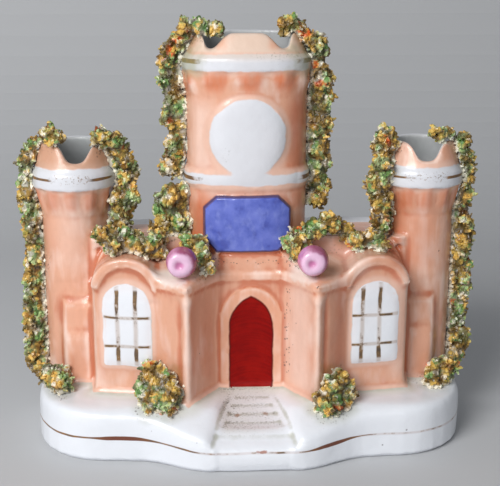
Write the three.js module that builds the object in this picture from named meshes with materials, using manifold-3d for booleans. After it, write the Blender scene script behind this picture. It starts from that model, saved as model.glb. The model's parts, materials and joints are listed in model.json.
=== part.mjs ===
// Pottery castle: a small porcelain spill holder modelled as a gatehouse between three hollow towers.
// Millimetres. The front faces -Y, +X is on the right of someone who looks at the front, +Z is up.
// The origin is the middle of the underside. Every sub-part has a short function of its own.

import * as THREE from 'three';
import { ConvexGeometry } from 'three/addons/geometries/ConvexGeometry.js';
import { mergeVertices } from 'three/addons/utils/BufferGeometryUtils.js';
import Module from 'manifold-3d';

const wasm = await Module();
wasm.setup();

// Clearance that is left where a piece is cut to fit round a neighbour.
const SEAT = 0.3;
// Thickness of the potted walls.
const WALL = 3;

// Plinth.
const PLINTH_END_MARGIN = 11.8;
const PLINTH_HALF_DEPTH = 27.4;
const PLINTH_HEIGHT = 15.5;
const PLINTH_EDGE = 1;
const PLINTH_SKIRT = 4.5;
const DECK_THICKNESS = 4.5;
const BULGE_DEPTH = 8;
const BULGE_FLAT_HALF = 10;
const BULGE_END_X = 35;
const END_SWEEP_X = 43;
const END_SWEEP_Y = 4;
const BACK_CORNER_RADIUS = 9;
const FRONT_BANK_Y = -16.5;
const FRONT_BANK_SLOPE = 0.56;

// Ramp and steps in front of the door.
const STEP_COUNT = 5;
const STEP_RISER = 1.2;
const STEP_TREAD = 3.2;
const STEP_TOP_HALF = 5.2;
const STEP_BOTTOM_HALF = 9.8;
const STRINGER_WIDTH = 1.3;
const STRINGER_RISE = 0.8;
const STEP_BED = 7;
const RAMP_SPREAD = 1.6;
const RAMP_DROP = 0.5;

// Plan of the gatehouse: a door recess between two prows.
const GATE_HALF_WIDTH = 27.8;
const PROW_X = 18.2;
const PROW_Y = -16.8;
const RECESS_HALF = 9.2;
const BAY_JOINT_Y = -8.8;
const GATE_WALL_HEIGHT = 33.7;
const CORNICE_HEIGHT = 2;
const CORNICE_PROUD = 0.8;
const ROOF_RISE = 4.6;

// Door and its surround.
const DOOR_HALF_WIDTH = 6.2;
const DOOR_SPRING = 21;
const DOOR_ARCH_RISE = 7.5;
const DOOR_POINT_RISE = 9.3;
const DOOR_THICKNESS = 0.7;
const SURROUND_WIDTH = 2.6;
const SURROUND_THICKNESS = 1.1;

// Window bays, with a barrel top and a raised hood.
const BAY_OFFSET = 7.7;
const BAY_OUTER_HALF = 10;
const BAY_OUTER_Y = -5.9;
const BAY_SPRING = 31;
const BAY_ARCH_RADIUS = 10.5;
const HOOD_RADIUS = 11;
const HOOD_WIDTH = 3;
const HOOD_THICKNESS = 1.4;
const HOOD_FOOT_RISE = 1.2;
const WINDOW_HALF_WIDTH = 6.6;
const WINDOW_SILL = 9.7;
const WINDOW_SPRING = 26.9;
const WINDOW_THICKNESS = 0.6;

// Wings behind the bays and the flat back.
const WING_FRONT_Y = 3;
const WING_WALL_HEIGHT = 41.5;
const WING_ROOF_THICKNESS = 3;
const BACK_THICKNESS = 2;

// Middle tower: an oval with a flattened front.
const CENTRE_X = -0.7;
const CENTRE_Y = 12;
const CENTRE_HALF_WIDTH = 17.4;
const CENTRE_HALF_DEPTH = 12;
const CENTRE_SQUARENESS = 2.5;
const CENTRE_BASE_HEIGHT = 59.5;
const CENTRE_COLLAR_HEIGHT = 4.6;
const CENTRE_COLLAR_PROUD = 0.9;
const CENTRE_STAGE_HEIGHT = 21;
const CENTRE_CORBEL_HEIGHT = 7.3;
const CENTRE_CORBEL_PROUD = 0.7;
const CENTRE_BAND_HEIGHT = 4.2;
const CENTRE_BAND_PROUD = 1.2;
const CENTRE_PARAPET_HEIGHT = 5.8;
const CENTRE_PARAPET_LEAN = 2.6;
const CENTRE_NOTCH_X = 8.8;
const CENTRE_NOTCH_DEPTH = 4.5;
const CENTRE_NOTCH_FOOT = 0.6;
const CENTRE_NOTCH_MOUTH = 4.6;
// Each notch is steeper on its outer side, because its foot sits further out than its mouth.
const CENTRE_NOTCH_SKEW = 1.7;

// Side towers, which stand against the flat back.
const SIDE_OFFSET = 5.7;
const SIDE_RADIUS = 10;
const SIDE_WALL = 2.5;
const SIDE_SHAFT_HEIGHT = 50;
const SIDE_CORBEL_HEIGHT = 8.6;
const SIDE_COLLAR_HEIGHT = 5;
const SIDE_COLLAR_PROUD = 2.5;
const SIDE_PARAPET_HEIGHT = 7.6;
const SIDE_PARAPET_LEAN = 2;
const SIDE_NOTCH_DEPTH = 5.2;
const SIDE_NOTCH_FOOT = 1.6;
const SIDE_NOTCH_MOUTH = 6;
// The left notch sits a little nearer the middle tower than the right one does.
const LEFT_NOTCH_SHIFT = 1.6;

// Corbels are shallow ripples round the head of each tower.
const CORBEL_COUNT = 12;
const CORBEL_RIPPLE = 0.35;
const TOWER_SEGMENTS = 48;
const ROOM_SEGMENTS = 24;

// Buttress with two set-offs at the foot of each side tower.
const BUTTRESS_HALF_WIDTH = 3.9;
const BUTTRESS_LOWER_HEIGHT = 14.5;
const BUTTRESS_UPPER_HEIGHT = 24.5;
const BUTTRESS_LOWER_PROUD = 3;
const BUTTRESS_UPPER_PROUD = 1.5;
const LOWER_SET_OFF = 2.2;
const UPPER_SET_OFF = 0.9;

// Raised disc and plaque on the middle tower.
const DISC_RADIUS = 10.8;
const DISC_PROUD = 0.9;
const PLAQUE_HALF_WIDTH = 12.4;
const PLAQUE_HALF_HEIGHT = 8;
const PLAQUE_DROP = 10.7;
const PLAQUE_CORNER = 3.6;
const PLAQUE_PROUD = 1.1;

// Rosettes over the prows.
const ROSETTE_RADIUS = 4.6;
const ROSETTE_THICKNESS = 5;
const ROSETTE_DIMPLE_RADIUS = 1.2;
const ROSETTE_DIMPLE_DEPTH = 1;
const ROSETTE_Y = -13.6;
const ROSETTE_Z = 56.9;
const ROSETTE_SHIFT = 1.3;

// Foliage: crumbs of clay, heaped in strands and tufts. The spacing is in crumb radii.
const CRUMB = 3.6;
const CRUMB_SPACING = 1.05;
const STRAND_DEPTH = 7.3;
const CRUMB_JITTER = 0.9;
const CRUMB_ROUGHNESS = 0.16;

// Levels and planes that follow from the sizes above.
const DECK = PLINTH_HEIGHT;
const DOOR_HEIGHT = DOOR_SPRING + DOOR_ARCH_RISE;
const BAY_X = GATE_HALF_WIDTH + BAY_OFFSET;
const BAY_OUTER_X = BAY_X + BAY_OUTER_HALF;
const SIDE_X = BAY_OUTER_X + SIDE_OFFSET;
const PLINTH_HALF_WIDTH = SIDE_X + PLINTH_END_MARGIN;
const FOLIAGE_REACH = SIDE_X + SIDE_RADIUS + STRAND_DEPTH;
const RECESS_Y = CENTRE_Y - CENTRE_HALF_DEPTH - SEAT - WALL;
const CORNICE_BOTTOM = DECK + GATE_WALL_HEIGHT;
const CORNICE_TOP = CORNICE_BOTTOM + CORNICE_HEIGHT;
const WING_WALL_TOP = DECK + WING_WALL_HEIGHT;
const WING_TOP = WING_WALL_TOP + WING_ROOF_THICKNESS;
const BACK_FRONT_Y = CENTRE_Y + CENTRE_HALF_DEPTH + SEAT;
const BACK_Y = BACK_FRONT_Y + BACK_THICKNESS;
const SIDE_Y = BACK_FRONT_Y - SEAT - SIDE_RADIUS;
const SIDE_SHAFT_TOP = DECK + SIDE_SHAFT_HEIGHT;
const SIDE_COLLAR_BOTTOM = SIDE_SHAFT_TOP + SIDE_CORBEL_HEIGHT;
const SIDE_COLLAR_TOP = SIDE_COLLAR_BOTTOM + SIDE_COLLAR_HEIGHT;
const SIDE_TOP = SIDE_COLLAR_TOP + SIDE_PARAPET_HEIGHT;
const CENTRE_BASE_TOP = DECK + CENTRE_BASE_HEIGHT;
const CENTRE_COLLAR_TOP = CENTRE_BASE_TOP + CENTRE_COLLAR_HEIGHT;
const CENTRE_STAGE_TOP = CENTRE_COLLAR_TOP + CENTRE_STAGE_HEIGHT;
const CENTRE_CORBEL_TOP = CENTRE_STAGE_TOP + CENTRE_CORBEL_HEIGHT;
const CENTRE_BAND_TOP = CENTRE_CORBEL_TOP + CENTRE_BAND_HEIGHT;
const CENTRE_TOP = CENTRE_BAND_TOP + CENTRE_PARAPET_HEIGHT;
const CENTRE_FRONT_Y = CENTRE_Y - CENTRE_HALF_DEPTH;
const PLAQUE_CENTRE_Z = CENTRE_BASE_TOP - PLAQUE_DROP;
const BAY_TOP = DECK + BAY_SPRING + BAY_ARCH_RADIUS;
const FAR = 200;

const CENTRE_PLAN = {
  x: CENTRE_X,
  y: CENTRE_Y,
  halfWidth: CENTRE_HALF_WIDTH,
  halfDepth: CENTRE_HALF_DEPTH,
  squareness: CENTRE_SQUARENESS,
};

function sidePlan(side) {
  return { x: side * SIDE_X, y: SIDE_Y, halfWidth: SIDE_RADIUS, halfDepth: SIDE_RADIUS, squareness: 2 };
}

// Finishes.
const PEACH_GLAZE = { color: 0xe2a283, roughness: 0.22 };
const WHITE_GLAZE = { color: 0xe9e9ee, roughness: 0.18 };
const RED_ENAMEL = { color: 0x9a0f08, roughness: 0.3 };
const BLUE_ENAMEL = { color: 0x5d68c0, roughness: 0.3 };
const PINK_ENAMEL = { color: 0xd98fbb, roughness: 0.28 };
const MOSS_GLAZE = { color: 0x8f8a3c, roughness: 0.4 };

// A closed geometry becomes a solid for joining and cutting, with its faces turned outwards.
function toSolid(geometry) {
  const bare = geometry.clone();
  bare.deleteAttribute('normal');
  bare.deleteAttribute('uv');
  const merged = mergeVertices(bare, 1e-4);
  const vertProperties = new Float32Array(merged.attributes.position.array);
  const triVerts = new Uint32Array(merged.index ? merged.index.array : vertProperties.length / 3);
  if (signedVolume(vertProperties, triVerts) < 0) {
    flipFaces(triVerts);
  }
  return new wasm.Manifold(new wasm.Mesh({ numProp: 3, vertProperties, triVerts }));
}

function signedVolume(positions, triangles) {
  const corner = [new THREE.Vector3(), new THREE.Vector3(), new THREE.Vector3()];
  let sum = 0;
  for (let i = 0; i < triangles.length; i += 3) {
    corner.forEach((point, k) => point.fromArray(positions, 3 * triangles[i + k]));
    sum += corner[0].dot(corner[1].cross(corner[2]));
  }
  return sum;
}

function flipFaces(triangles) {
  for (let i = 0; i < triangles.length; i += 3) {
    [triangles[i + 1], triangles[i + 2]] = [triangles[i + 2], triangles[i + 1]];
  }
}

function toGeometry(solid) {
  const mesh = solid.getMesh();
  const geometry = new THREE.BufferGeometry();
  geometry.setAttribute('position', new THREE.BufferAttribute(mesh.vertProperties, 3));
  geometry.setIndex(new THREE.BufferAttribute(mesh.triVerts, 1));
  geometry.computeVertexNormals();
  return geometry;
}

// Outlines are lists of [a, b] points.
function outline(points) {
  return new THREE.Shape(points.map(([a, b]) => new THREE.Vector2(a, b)));
}

// A plan outline (x, y) raised from one level to another.
function raise(shape, bottom, top) {
  const geometry = new THREE.ExtrudeGeometry(shape, { depth: top - bottom, bevelEnabled: false });
  return toSolid(geometry.translate(0, 0, bottom));
}

// A front outline (x, z) drawn back from one plane to another.
function drawBack(shape, front, back) {
  const geometry = new THREE.ExtrudeGeometry(shape, { depth: back - front, bevelEnabled: false });
  return toSolid(geometry.rotateX(Math.PI / 2).translate(0, back, 0));
}

// A side outline (y, z) drawn across from one plane to another.
function drawAcross(shape, left, right) {
  const geometry = new THREE.ExtrudeGeometry(shape, { depth: right - left, bevelEnabled: false });
  const turn = new THREE.Matrix4().makeBasis(
    new THREE.Vector3(0, 1, 0),
    new THREE.Vector3(0, 0, 1),
    new THREE.Vector3(1, 0, 0),
  );
  return toSolid(geometry.applyMatrix4(turn).translate(left, 0, 0));
}

function block(left, right, front, back, bottom, top) {
  const geometry = new THREE.BoxGeometry(right - left, back - front, top - bottom);
  return toSolid(geometry.translate((left + right) / 2, (front + back) / 2, (bottom + top) / 2));
}

function hull(points) {
  return toSolid(new ConvexGeometry(points.map(([x, y, z]) => new THREE.Vector3(x, y, z))));
}

// A tower wall: a closed profile of [offset from the plan, level, ripple] carried round the plan.
function towerWall(plan, profile, segments = TOWER_SEGMENTS) {
  const loop = [...profile, profile[0]];
  const points = loop.map(([offset, level]) => new THREE.Vector2(plan.halfWidth + offset, level));
  const geometry = new THREE.LatheGeometry(points, segments).rotateX(Math.PI / 2);
  const position = geometry.attributes.position;
  for (let i = 0; i < position.count; i += 1) {
    const angle = Math.atan2(position.getY(i), position.getX(i));
    const [offset, level, ripple = 0] = loop[i % loop.length];
    const reach = offset + ripple * Math.cos(CORBEL_COUNT * angle);
    const along = Math.cos(angle);
    const across = Math.sin(angle);
    const power = 2 / plan.squareness;
    const x = (plan.halfWidth + reach) * Math.sign(along) * Math.abs(along) ** power;
    const y = (plan.halfDepth + reach) * Math.sign(across) * Math.abs(across) ** power;
    position.setXYZ(i, plan.x + x, plan.y + y, level);
  }
  return toSolid(geometry);
}

// The room that a tower's shaft takes up, so that a neighbour can be cut to fit round it.
function towerRoom(plan, clearance) {
  const shaft = [[clearance, -FAR], [clearance, FAR]];
  const axis = -plan.halfWidth;
  return towerWall(plan, [[axis, -FAR], ...shaft, [axis, FAR]]);
}

// The room that a whole tower takes up, outside and inside, so that foliage can be cut round it.
function fullTowerRoom(plan, outside) {
  const axis = -plan.halfWidth;
  const top = outside[outside.length - 1][1];
  return towerWall(plan, [[axis, 0], ...outside, [axis, top]], ROOM_SEGMENTS);
}

function centreRoom() {
  const band = CENTRE_BAND_PROUD + SEAT;
  const collar = CENTRE_COLLAR_PROUD + SEAT;
  return fullTowerRoom(CENTRE_PLAN, [
    [SEAT, 0], [SEAT, CENTRE_BASE_TOP - SEAT], [collar, CENTRE_BASE_TOP - SEAT],
    [collar, CENTRE_COLLAR_TOP + SEAT], [SEAT, CENTRE_COLLAR_TOP + SEAT], [SEAT, CENTRE_STAGE_TOP - SEAT],
    [band, CENTRE_STAGE_TOP + CENTRE_CORBEL_HEIGHT / 2], [band, CENTRE_BAND_TOP],
    [SEAT - CENTRE_PARAPET_LEAN, CENTRE_TOP + SEAT],
  ]);
}

function sideRoom(side) {
  const collar = SIDE_COLLAR_PROUD + SEAT;
  return fullTowerRoom(sidePlan(side), [
    [SEAT, 0], [SEAT, SIDE_SHAFT_TOP - SEAT], [collar, SIDE_COLLAR_BOTTOM - SEAT],
    [collar, SIDE_COLLAR_TOP], [collar - SIDE_PARAPET_LEAN, SIDE_TOP + SEAT],
  ]);
}

// Cuts a piece clear of its neighbours by the seating clearance, and drops crumbs that come loose.
function cutClear(piece, neighbours) {
  const shifts = [[0, 0, 0]];
  for (const step of [-SEAT, SEAT]) {
    shifts.push([step, 0, 0], [0, step, 0], [0, 0, step]);
  }
  let rest = piece;
  for (const neighbour of neighbours) {
    for (const shift of shifts) {
      rest = rest.subtract(neighbour.translate(shift));
    }
  }
  return largest(rest);
}

function largest(solid) {
  const bodies = solid.decompose();
  return bodies.reduce((best, body) => (body.volume() > best.volume() ? body : best));
}

// A dip in a parapet, as a front outline with soft shoulders.
function dip(centre, foot, mouth, bottom, top, skew) {
  const bend = (mouth - foot) / 2;
  const low = centre + skew;
  const shape = new THREE.Shape();
  shape.moveTo(centre - mouth, top);
  shape.bezierCurveTo(centre - mouth + bend, top, low - foot - bend / 2, bottom, low - foot, bottom);
  shape.lineTo(low + foot, bottom);
  shape.bezierCurveTo(low + foot + bend / 2, bottom, centre + mouth - bend, top, centre + mouth, top);
  shape.lineTo(centre + mouth, top + mouth);
  shape.lineTo(centre - mouth, top + mouth);
  return shape;
}

// Moves an outline's points inwards or outwards along their normals.
function offsetPoints(points, distance) {
  const count = points.length;
  return points.map((point, i) => {
    const before = points[(i + count - 1) % count];
    const after = points[(i + 1) % count];
    const inward = new THREE.Vector2().subVectors(point, before).normalize();
    const outward = new THREE.Vector2().subVectors(after, point).normalize();
    const normal = new THREE.Vector2(inward.y + outward.y, -inward.x - outward.x).normalize();
    const miter = distance / Math.max(0.5, normal.x * outward.y - normal.y * outward.x);
    return new THREE.Vector2(point.x + normal.x * miter, point.y + normal.y * miter);
  });
}

// Plinth: the right half of the serpentine outline, mirrored for the left.
function plinthPoints() {
  const frontY = -PLINTH_HALF_DEPTH;
  const wingY = frontY + BULGE_DEPTH;
  const bend = (BULGE_END_X - BULGE_FLAT_HALF) * 0.42;
  const corner = BACK_CORNER_RADIUS;
  const half = new THREE.Path();
  half.moveTo(BULGE_FLAT_HALF, frontY);
  half.bezierCurveTo(BULGE_FLAT_HALF + bend, frontY, BULGE_END_X - bend, wingY, BULGE_END_X, wingY);
  half.lineTo(END_SWEEP_X, wingY + 0.5);
  half.bezierCurveTo(
    END_SWEEP_X + 11, wingY + 1, PLINTH_HALF_WIDTH, wingY + 10.4, PLINTH_HALF_WIDTH, END_SWEEP_Y,
  );
  half.lineTo(PLINTH_HALF_WIDTH, PLINTH_HALF_DEPTH - corner);
  half.absarc(PLINTH_HALF_WIDTH - corner, PLINTH_HALF_DEPTH - corner, corner, 0, Math.PI / 2);
  const right = half.getPoints(7);
  const left = right.map((point) => new THREE.Vector2(-point.x, point.y)).reverse();
  return [...right, ...left];
}

function rampShape(spread) {
  const front = -PLINTH_HALF_DEPTH - 1;
  const top = stepTopY();
  const run = STEP_COUNT * STEP_TREAD;
  const slope = (STEP_BOTTOM_HALF - STEP_TOP_HALF) / run;
  const frontHalf = STEP_TOP_HALF + slope * (top - front) + spread;
  const topHalf = STEP_TOP_HALF + spread;
  return outline([[-frontHalf, front], [frontHalf, front], [topHalf, top], [-topHalf, top]]);
}

function stepTopY() {
  return RECESS_Y - 3.3;
}

function stepFootY() {
  return stepTopY() - STEP_COUNT * STEP_TREAD;
}

function makePlinth() {
  const points = plinthPoints();
  const rim = raise(new THREE.Shape(offsetPoints(points, -PLINTH_EDGE)), 0, PLINTH_HEIGHT);
  const middle = raise(new THREE.Shape(points), PLINTH_EDGE, PLINTH_HEIGHT - PLINTH_EDGE);
  const hollow = raise(new THREE.Shape(offsetPoints(points, -PLINTH_SKIRT)), -1, DECK - DECK_THICKNESS);
  const underSteps = block(
    -STEP_BOTTOM_HALF - PLINTH_SKIRT, STEP_BOTTOM_HALF + PLINTH_SKIRT,
    -FAR, stepTopY() + PLINTH_SKIRT, -FAR, FAR,
  );
  const bank = drawAcross(
    outline([
      [FRONT_BANK_Y, DECK],
      [FRONT_BANK_Y, DECK + FAR],
      [FRONT_BANK_Y - FAR, DECK + FAR],
      [FRONT_BANK_Y - FAR, DECK - FRONT_BANK_SLOPE * FAR],
    ]),
    -FAR, FAR,
  );
  return rim.add(middle)
    .subtract(hollow.subtract(underSteps))
    .subtract(bank)
    .subtract(rampRoom())
    .subtract(stepRoom(STRINGER_WIDTH + SEAT, STEP_BED));
}

// The sunken ramp that the steps lie in.
function rampRoom() {
  const slope = STEP_RISER / STEP_TREAD;
  const above = raise(rampShape(RAMP_SPREAD), STEP_BED, DECK + 1);
  const side = outline([
    [stepTopY() + 1, DECK - RAMP_DROP],
    [stepTopY() + 1, DECK + 2],
    [-FAR, DECK + 2],
    [-FAR, DECK - RAMP_DROP - slope * (FAR + stepTopY() + 1)],
  ]);
  return above.intersect(drawAcross(side, -FAR, FAR));
}

// The bed that the step block stands in, a straight-sided trapezium in plan.
function stepRoom(spread, bottom) {
  const top = stepTopY() + spread - STRINGER_WIDTH;
  const foot = stepFootY() - spread + STRINGER_WIDTH;
  const topHalf = STEP_TOP_HALF + spread;
  const footHalf = STEP_BOTTOM_HALF + spread;
  const shape = outline([[-footHalf, foot], [footHalf, foot], [topHalf, top], [-topHalf, top]]);
  return raise(shape, bottom, DECK + 2);
}

function makeSteps() {
  const top = stepTopY();
  const foot = stepFootY();
  const profile = [[top, STEP_BED], [top, DECK]];
  for (let i = 0; i < STEP_COUNT; i += 1) {
    const level = DECK - i * STEP_RISER;
    profile.push([top - (i + 0.35) * STEP_TREAD, level]);
    profile.push([top - (i + 0.35) * STEP_TREAD, level - STEP_RISER]);
  }
  profile.push([foot, DECK - STEP_COUNT * STEP_RISER], [foot, STEP_BED]);
  const stringer = outline([
    [top, STEP_BED],
    [top, DECK],
    [foot, DECK - STEP_COUNT * STEP_RISER + STRINGER_RISE],
    [foot, STEP_BED],
  ]);
  const treads = drawAcross(outline(profile), -FAR, FAR);
  const core = stepRoom(0, STEP_BED);
  const cheeks = drawAcross(stringer, -FAR, FAR).intersect(stepRoom(STRINGER_WIDTH, STEP_BED));
  return cheeks.subtract(core).add(treads.intersect(stepRoom(0.1, STEP_BED)));
}

// The front line of the gatehouse, from left to right.
function gateLine() {
  return [
    [-GATE_HALF_WIDTH, BAY_JOINT_Y],
    [-PROW_X, PROW_Y],
    [-RECESS_HALF, RECESS_Y],
    [RECESS_HALF, RECESS_Y],
    [PROW_X, PROW_Y],
    [GATE_HALF_WIDTH, BAY_JOINT_Y],
  ];
}

// A line moved forwards by a distance, with its ends run on so that they can be trimmed.
function movedLine(line, forward) {
  const points = line.map(([x, y]) => new THREE.Vector2(x, y));
  const first = points[0].clone().sub(points[1]).add(points[0]);
  const last = points[points.length - 1].clone().multiplyScalar(2).sub(points[points.length - 2]);
  const all = [first, ...points, last];
  const moved = offsetPoints(all, forward);
  moved[0] = shiftedEnd(all[0], all[1], forward, 1);
  moved[all.length - 1] = shiftedEnd(all[all.length - 1], all[all.length - 2], forward, -1);
  return moved;
}

function shiftedEnd(end, next, forward, sense) {
  const along = next.clone().sub(end).normalize().multiplyScalar(sense);
  return new THREE.Vector2(end.x + along.y * forward, end.y - along.x * forward);
}

// A folded wall that follows the gatehouse line, trimmed where the bays begin.
function foldedWall(outside, inside, bottom, top) {
  const front = movedLine(gateLine(), outside);
  const back = movedLine(gateLine(), -inside).reverse();
  const wall = raise(new THREE.Shape([...front, ...back]), bottom, top);
  const reach = GATE_HALF_WIDTH;
  return wall.intersect(block(-reach, reach, -FAR, FAR, bottom - 1, top + 1));
}

function makeGatehouseWall() {
  return foldedWall(0, WALL, DECK, CORNICE_BOTTOM);
}

function makeCornice() {
  return foldedWall(CORNICE_PROUD, WALL, CORNICE_BOTTOM, CORNICE_TOP);
}

function makeGatehouseRoof() {
  const low = CORNICE_TOP;
  const high = CORNICE_TOP + ROOF_RISE;
  const back = WING_FRONT_Y;
  const skirt = CENTRE_FRONT_Y - SEAT;
  let roof = hull([
    [-RECESS_HALF - 1, RECESS_Y, low], [RECESS_HALF + 1, RECESS_Y, low],
    [-RECESS_HALF - 1, back, low], [RECESS_HALF + 1, back, low],
    [-RECESS_HALF - 1, skirt, high - 1], [RECESS_HALF + 1, skirt, high - 1],
    [-RECESS_HALF - 1, back, high - 1], [RECESS_HALF + 1, back, high - 1],
  ]);
  for (const side of [-1, 1]) {
    const inner = side * RECESS_HALF;
    const outer = side * GATE_HALF_WIDTH;
    roof = roof.add(hull([
      [outer, BAY_JOINT_Y, low], [side * PROW_X, PROW_Y, low], [inner, RECESS_Y, low],
      [outer, back, low], [inner, back, low],
      [outer, back, high - 2], [side * PROW_X, back - WALL, high], [inner, skirt, high],
      [side * PROW_X, back, high], [inner, back, high],
    ]));
  }
  return roof.subtract(towerRoom(CENTRE_PLAN, SEAT));
}

// An arched outline: straight sides from the foot, and a round head above the spring.
function archShape(centre, half, foot, spring, rise) {
  const shape = new THREE.Shape();
  shape.moveTo(centre - half, foot);
  shape.lineTo(centre + half, foot);
  shape.lineTo(centre + half, spring);
  shape.absellipse(centre, spring, half, rise, 0, Math.PI, false, 0);
  shape.lineTo(centre - half, foot);
  return shape;
}

// A pointed outline: straight sides from the foot, and two arcs that meet at the top.
function pointedShape(half, foot, top, rise) {
  const radius = (half * half + rise * rise) / (2 * half);
  const turn = Math.asin(rise / radius);
  const spring = top - rise;
  const shape = new THREE.Shape();
  shape.moveTo(-half, foot);
  shape.lineTo(half, foot);
  shape.lineTo(half, spring);
  shape.absarc(half - radius, spring, radius, 0, turn, false);
  shape.absarc(radius - half, spring, radius, Math.PI - turn, Math.PI, false);
  shape.lineTo(-half, foot);
  return shape;
}

// The surround is round outside, and follows the pointed door inside.
function makeDoorSurround() {
  const outer = archShape(
    0, DOOR_HALF_WIDTH + SURROUND_WIDTH, DECK, DECK + DOOR_SPRING, DOOR_ARCH_RISE + SURROUND_WIDTH,
  );
  const inner = pointedShape(
    DOOR_HALF_WIDTH + SEAT, DECK - 1, DECK + DOOR_HEIGHT + SEAT, DOOR_POINT_RISE + SEAT,
  );
  const front = RECESS_Y - SURROUND_THICKNESS;
  return drawBack(outer, front, RECESS_Y).subtract(drawBack(inner, front - 1, RECESS_Y + 1));
}

function makeDoor() {
  const shape = pointedShape(DOOR_HALF_WIDTH, DECK, DECK + DOOR_HEIGHT, DOOR_POINT_RISE);
  return drawBack(shape, RECESS_Y - DOOR_THICKNESS, RECESS_Y);
}

// The slanted front of a bay, from the gatehouse to its outer corner.
function bayFrontLine(side) {
  return [[side * GATE_HALF_WIDTH, BAY_JOINT_Y], [side * BAY_OUTER_X, BAY_OUTER_Y]];
}

function bayPlan(side, inset) {
  const [[innerX, innerY], [outerX, outerY]] = bayFrontLine(side);
  const slope = (outerY - innerY) / (outerX - innerX);
  const wallX = outerX - side * inset;
  const frontAt = (x) => innerY + slope * (x - innerX) + inset;
  const start = innerX - side * inset;
  return outline([
    [start, frontAt(start)], [wallX, frontAt(wallX)], [wallX, WING_FRONT_Y + inset],
    [start, WING_FRONT_Y + inset],
  ]);
}

function makeBay(side) {
  const centre = side * BAY_X;
  const spring = DECK + BAY_SPRING;
  const radius = BAY_ARCH_RADIUS;
  const body = drawBack(archShape(centre, radius, DECK, spring, radius), -FAR, FAR)
    .intersect(raise(bayPlan(side, 0), DECK, DECK + FAR));
  const room = drawBack(
    archShape(centre, radius - WALL, DECK - 1, spring, radius - WALL), -FAR, FAR,
  ).intersect(raise(bayPlan(side, WALL), DECK - 1, DECK + FAR));
  const inner = side * GATE_HALF_WIDTH;
  const sideWay = block(
    Math.min(inner - side, centre), Math.max(inner - side, centre), -FAR, FAR, DECK - 1, spring + WALL,
  ).intersect(raise(bayPlan(side, WALL), DECK - 1, DECK + FAR));
  const keep = side > 0 ? block(inner, FAR, -FAR, FAR, 0, FAR) : block(-FAR, inner, -FAR, FAR, 0, FAR);
  const shell = body.subtract(room).subtract(sideWay);
  return largest(shell.intersect(keep).subtract(towerRoom(sidePlan(side), SEAT)));
}

// Places a piece that is drawn flat (x, z) with its back on y = 0 against the slanted front of a bay.
function ontoBay(solid, side) {
  const [[innerX, innerY], [outerX, outerY]] = bayFrontLine(side);
  const slope = (outerY - innerY) / (outerX - innerX);
  const turn = THREE.MathUtils.radToDeg(Math.atan(slope));
  const middleY = innerY + slope * (side * BAY_X - innerX);
  return solid.rotate([0, 0, turn]).translate([side * BAY_X, middleY - SEAT, 0]);
}

function makeHood(side) {
  const spring = DECK + BAY_SPRING;
  const bore = HOOD_RADIUS - HOOD_WIDTH;
  const outer = archShape(0, HOOD_RADIUS, spring - 1, spring, HOOD_RADIUS);
  const inner = archShape(0, bore, spring - 2, spring, bore);
  const band = drawBack(outer, -HOOD_THICKNESS, 0)
    .subtract(drawBack(inner, -HOOD_THICKNESS - 1, 1))
    .subtract(block(-FAR, FAR, -FAR, FAR, 0, spring + HOOD_FOOT_RISE));
  const gateSide = foldedWall(CORNICE_PROUD + SEAT, WALL, 0, CORNICE_TOP + SEAT);
  return largest(ontoBay(band, side).subtract(gateSide));
}

function makeWindow(side) {
  const sill = DECK + WINDOW_SILL;
  const spring = DECK + WINDOW_SPRING;
  const shape = archShape(0, WINDOW_HALF_WIDTH, sill, spring, WINDOW_HALF_WIDTH);
  return ontoBay(drawBack(shape, -WINDOW_THICKNESS, 0), side);
}

// Wing walls close the bays at the back, and the roofs span from them to the flat back.
// Both fall in an arch at their outer end, like the barrel top of the bay in front of them.
function wingSpan(side, front, back, bottom, top) {
  const shape = new THREE.Shape();
  shape.moveTo(0, DECK);
  shape.lineTo(BAY_OUTER_X, DECK);
  shape.lineTo(BAY_OUTER_X, DECK + BAY_SPRING);
  shape.absellipse(
    BAY_X, DECK + BAY_SPRING, BAY_OUTER_X - BAY_X, WING_TOP - DECK - BAY_SPRING, 0, Math.PI / 2, false, 0,
  );
  shape.lineTo(0, WING_TOP);
  const right = drawBack(shape, front, back).intersect(block(-FAR, FAR, -FAR, FAR, bottom, top));
  const slab = side > 0 ? right : right.mirror([1, 0, 0]);
  return largest(slab
    .subtract(towerRoom(CENTRE_PLAN, SEAT))
    .subtract(towerRoom(sidePlan(side), SEAT)));
}

function makeWingWall(side) {
  return wingSpan(side, WING_FRONT_Y, WING_FRONT_Y + WALL, DECK, WING_WALL_TOP);
}

// The wing roof runs out behind the side tower, over the end of the back wall.
function makeWingRoof(side) {
  const ends = [side * BAY_X, side * SIDE_X];
  const tail = block(Math.min(...ends), Math.max(...ends), SIDE_Y, BACK_Y, WING_WALL_TOP, WING_TOP);
  const roof = wingSpan(side, WING_FRONT_Y, BACK_Y, WING_WALL_TOP, WING_TOP);
  return largest(roof.add(tail.subtract(towerRoom(sidePlan(side), SEAT))));
}

function makeBackWall() {
  return block(-SIDE_X, SIDE_X, BACK_FRONT_Y, BACK_Y, DECK, WING_WALL_TOP);
}

function makeCentreBase() {
  return towerWall(CENTRE_PLAN, [
    [0, DECK], [0, CENTRE_BASE_TOP], [-WALL, CENTRE_BASE_TOP], [-WALL, DECK],
  ]);
}

function makeCentreCollar() {
  const proud = CENTRE_COLLAR_PROUD;
  return towerWall(CENTRE_PLAN, [
    [proud - 0.4, CENTRE_BASE_TOP], [proud, CENTRE_BASE_TOP + 0.8], [proud, CENTRE_COLLAR_TOP - 0.8],
    [proud - 0.4, CENTRE_COLLAR_TOP], [-WALL, CENTRE_COLLAR_TOP], [-WALL, CENTRE_BASE_TOP],
  ]);
}

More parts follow.
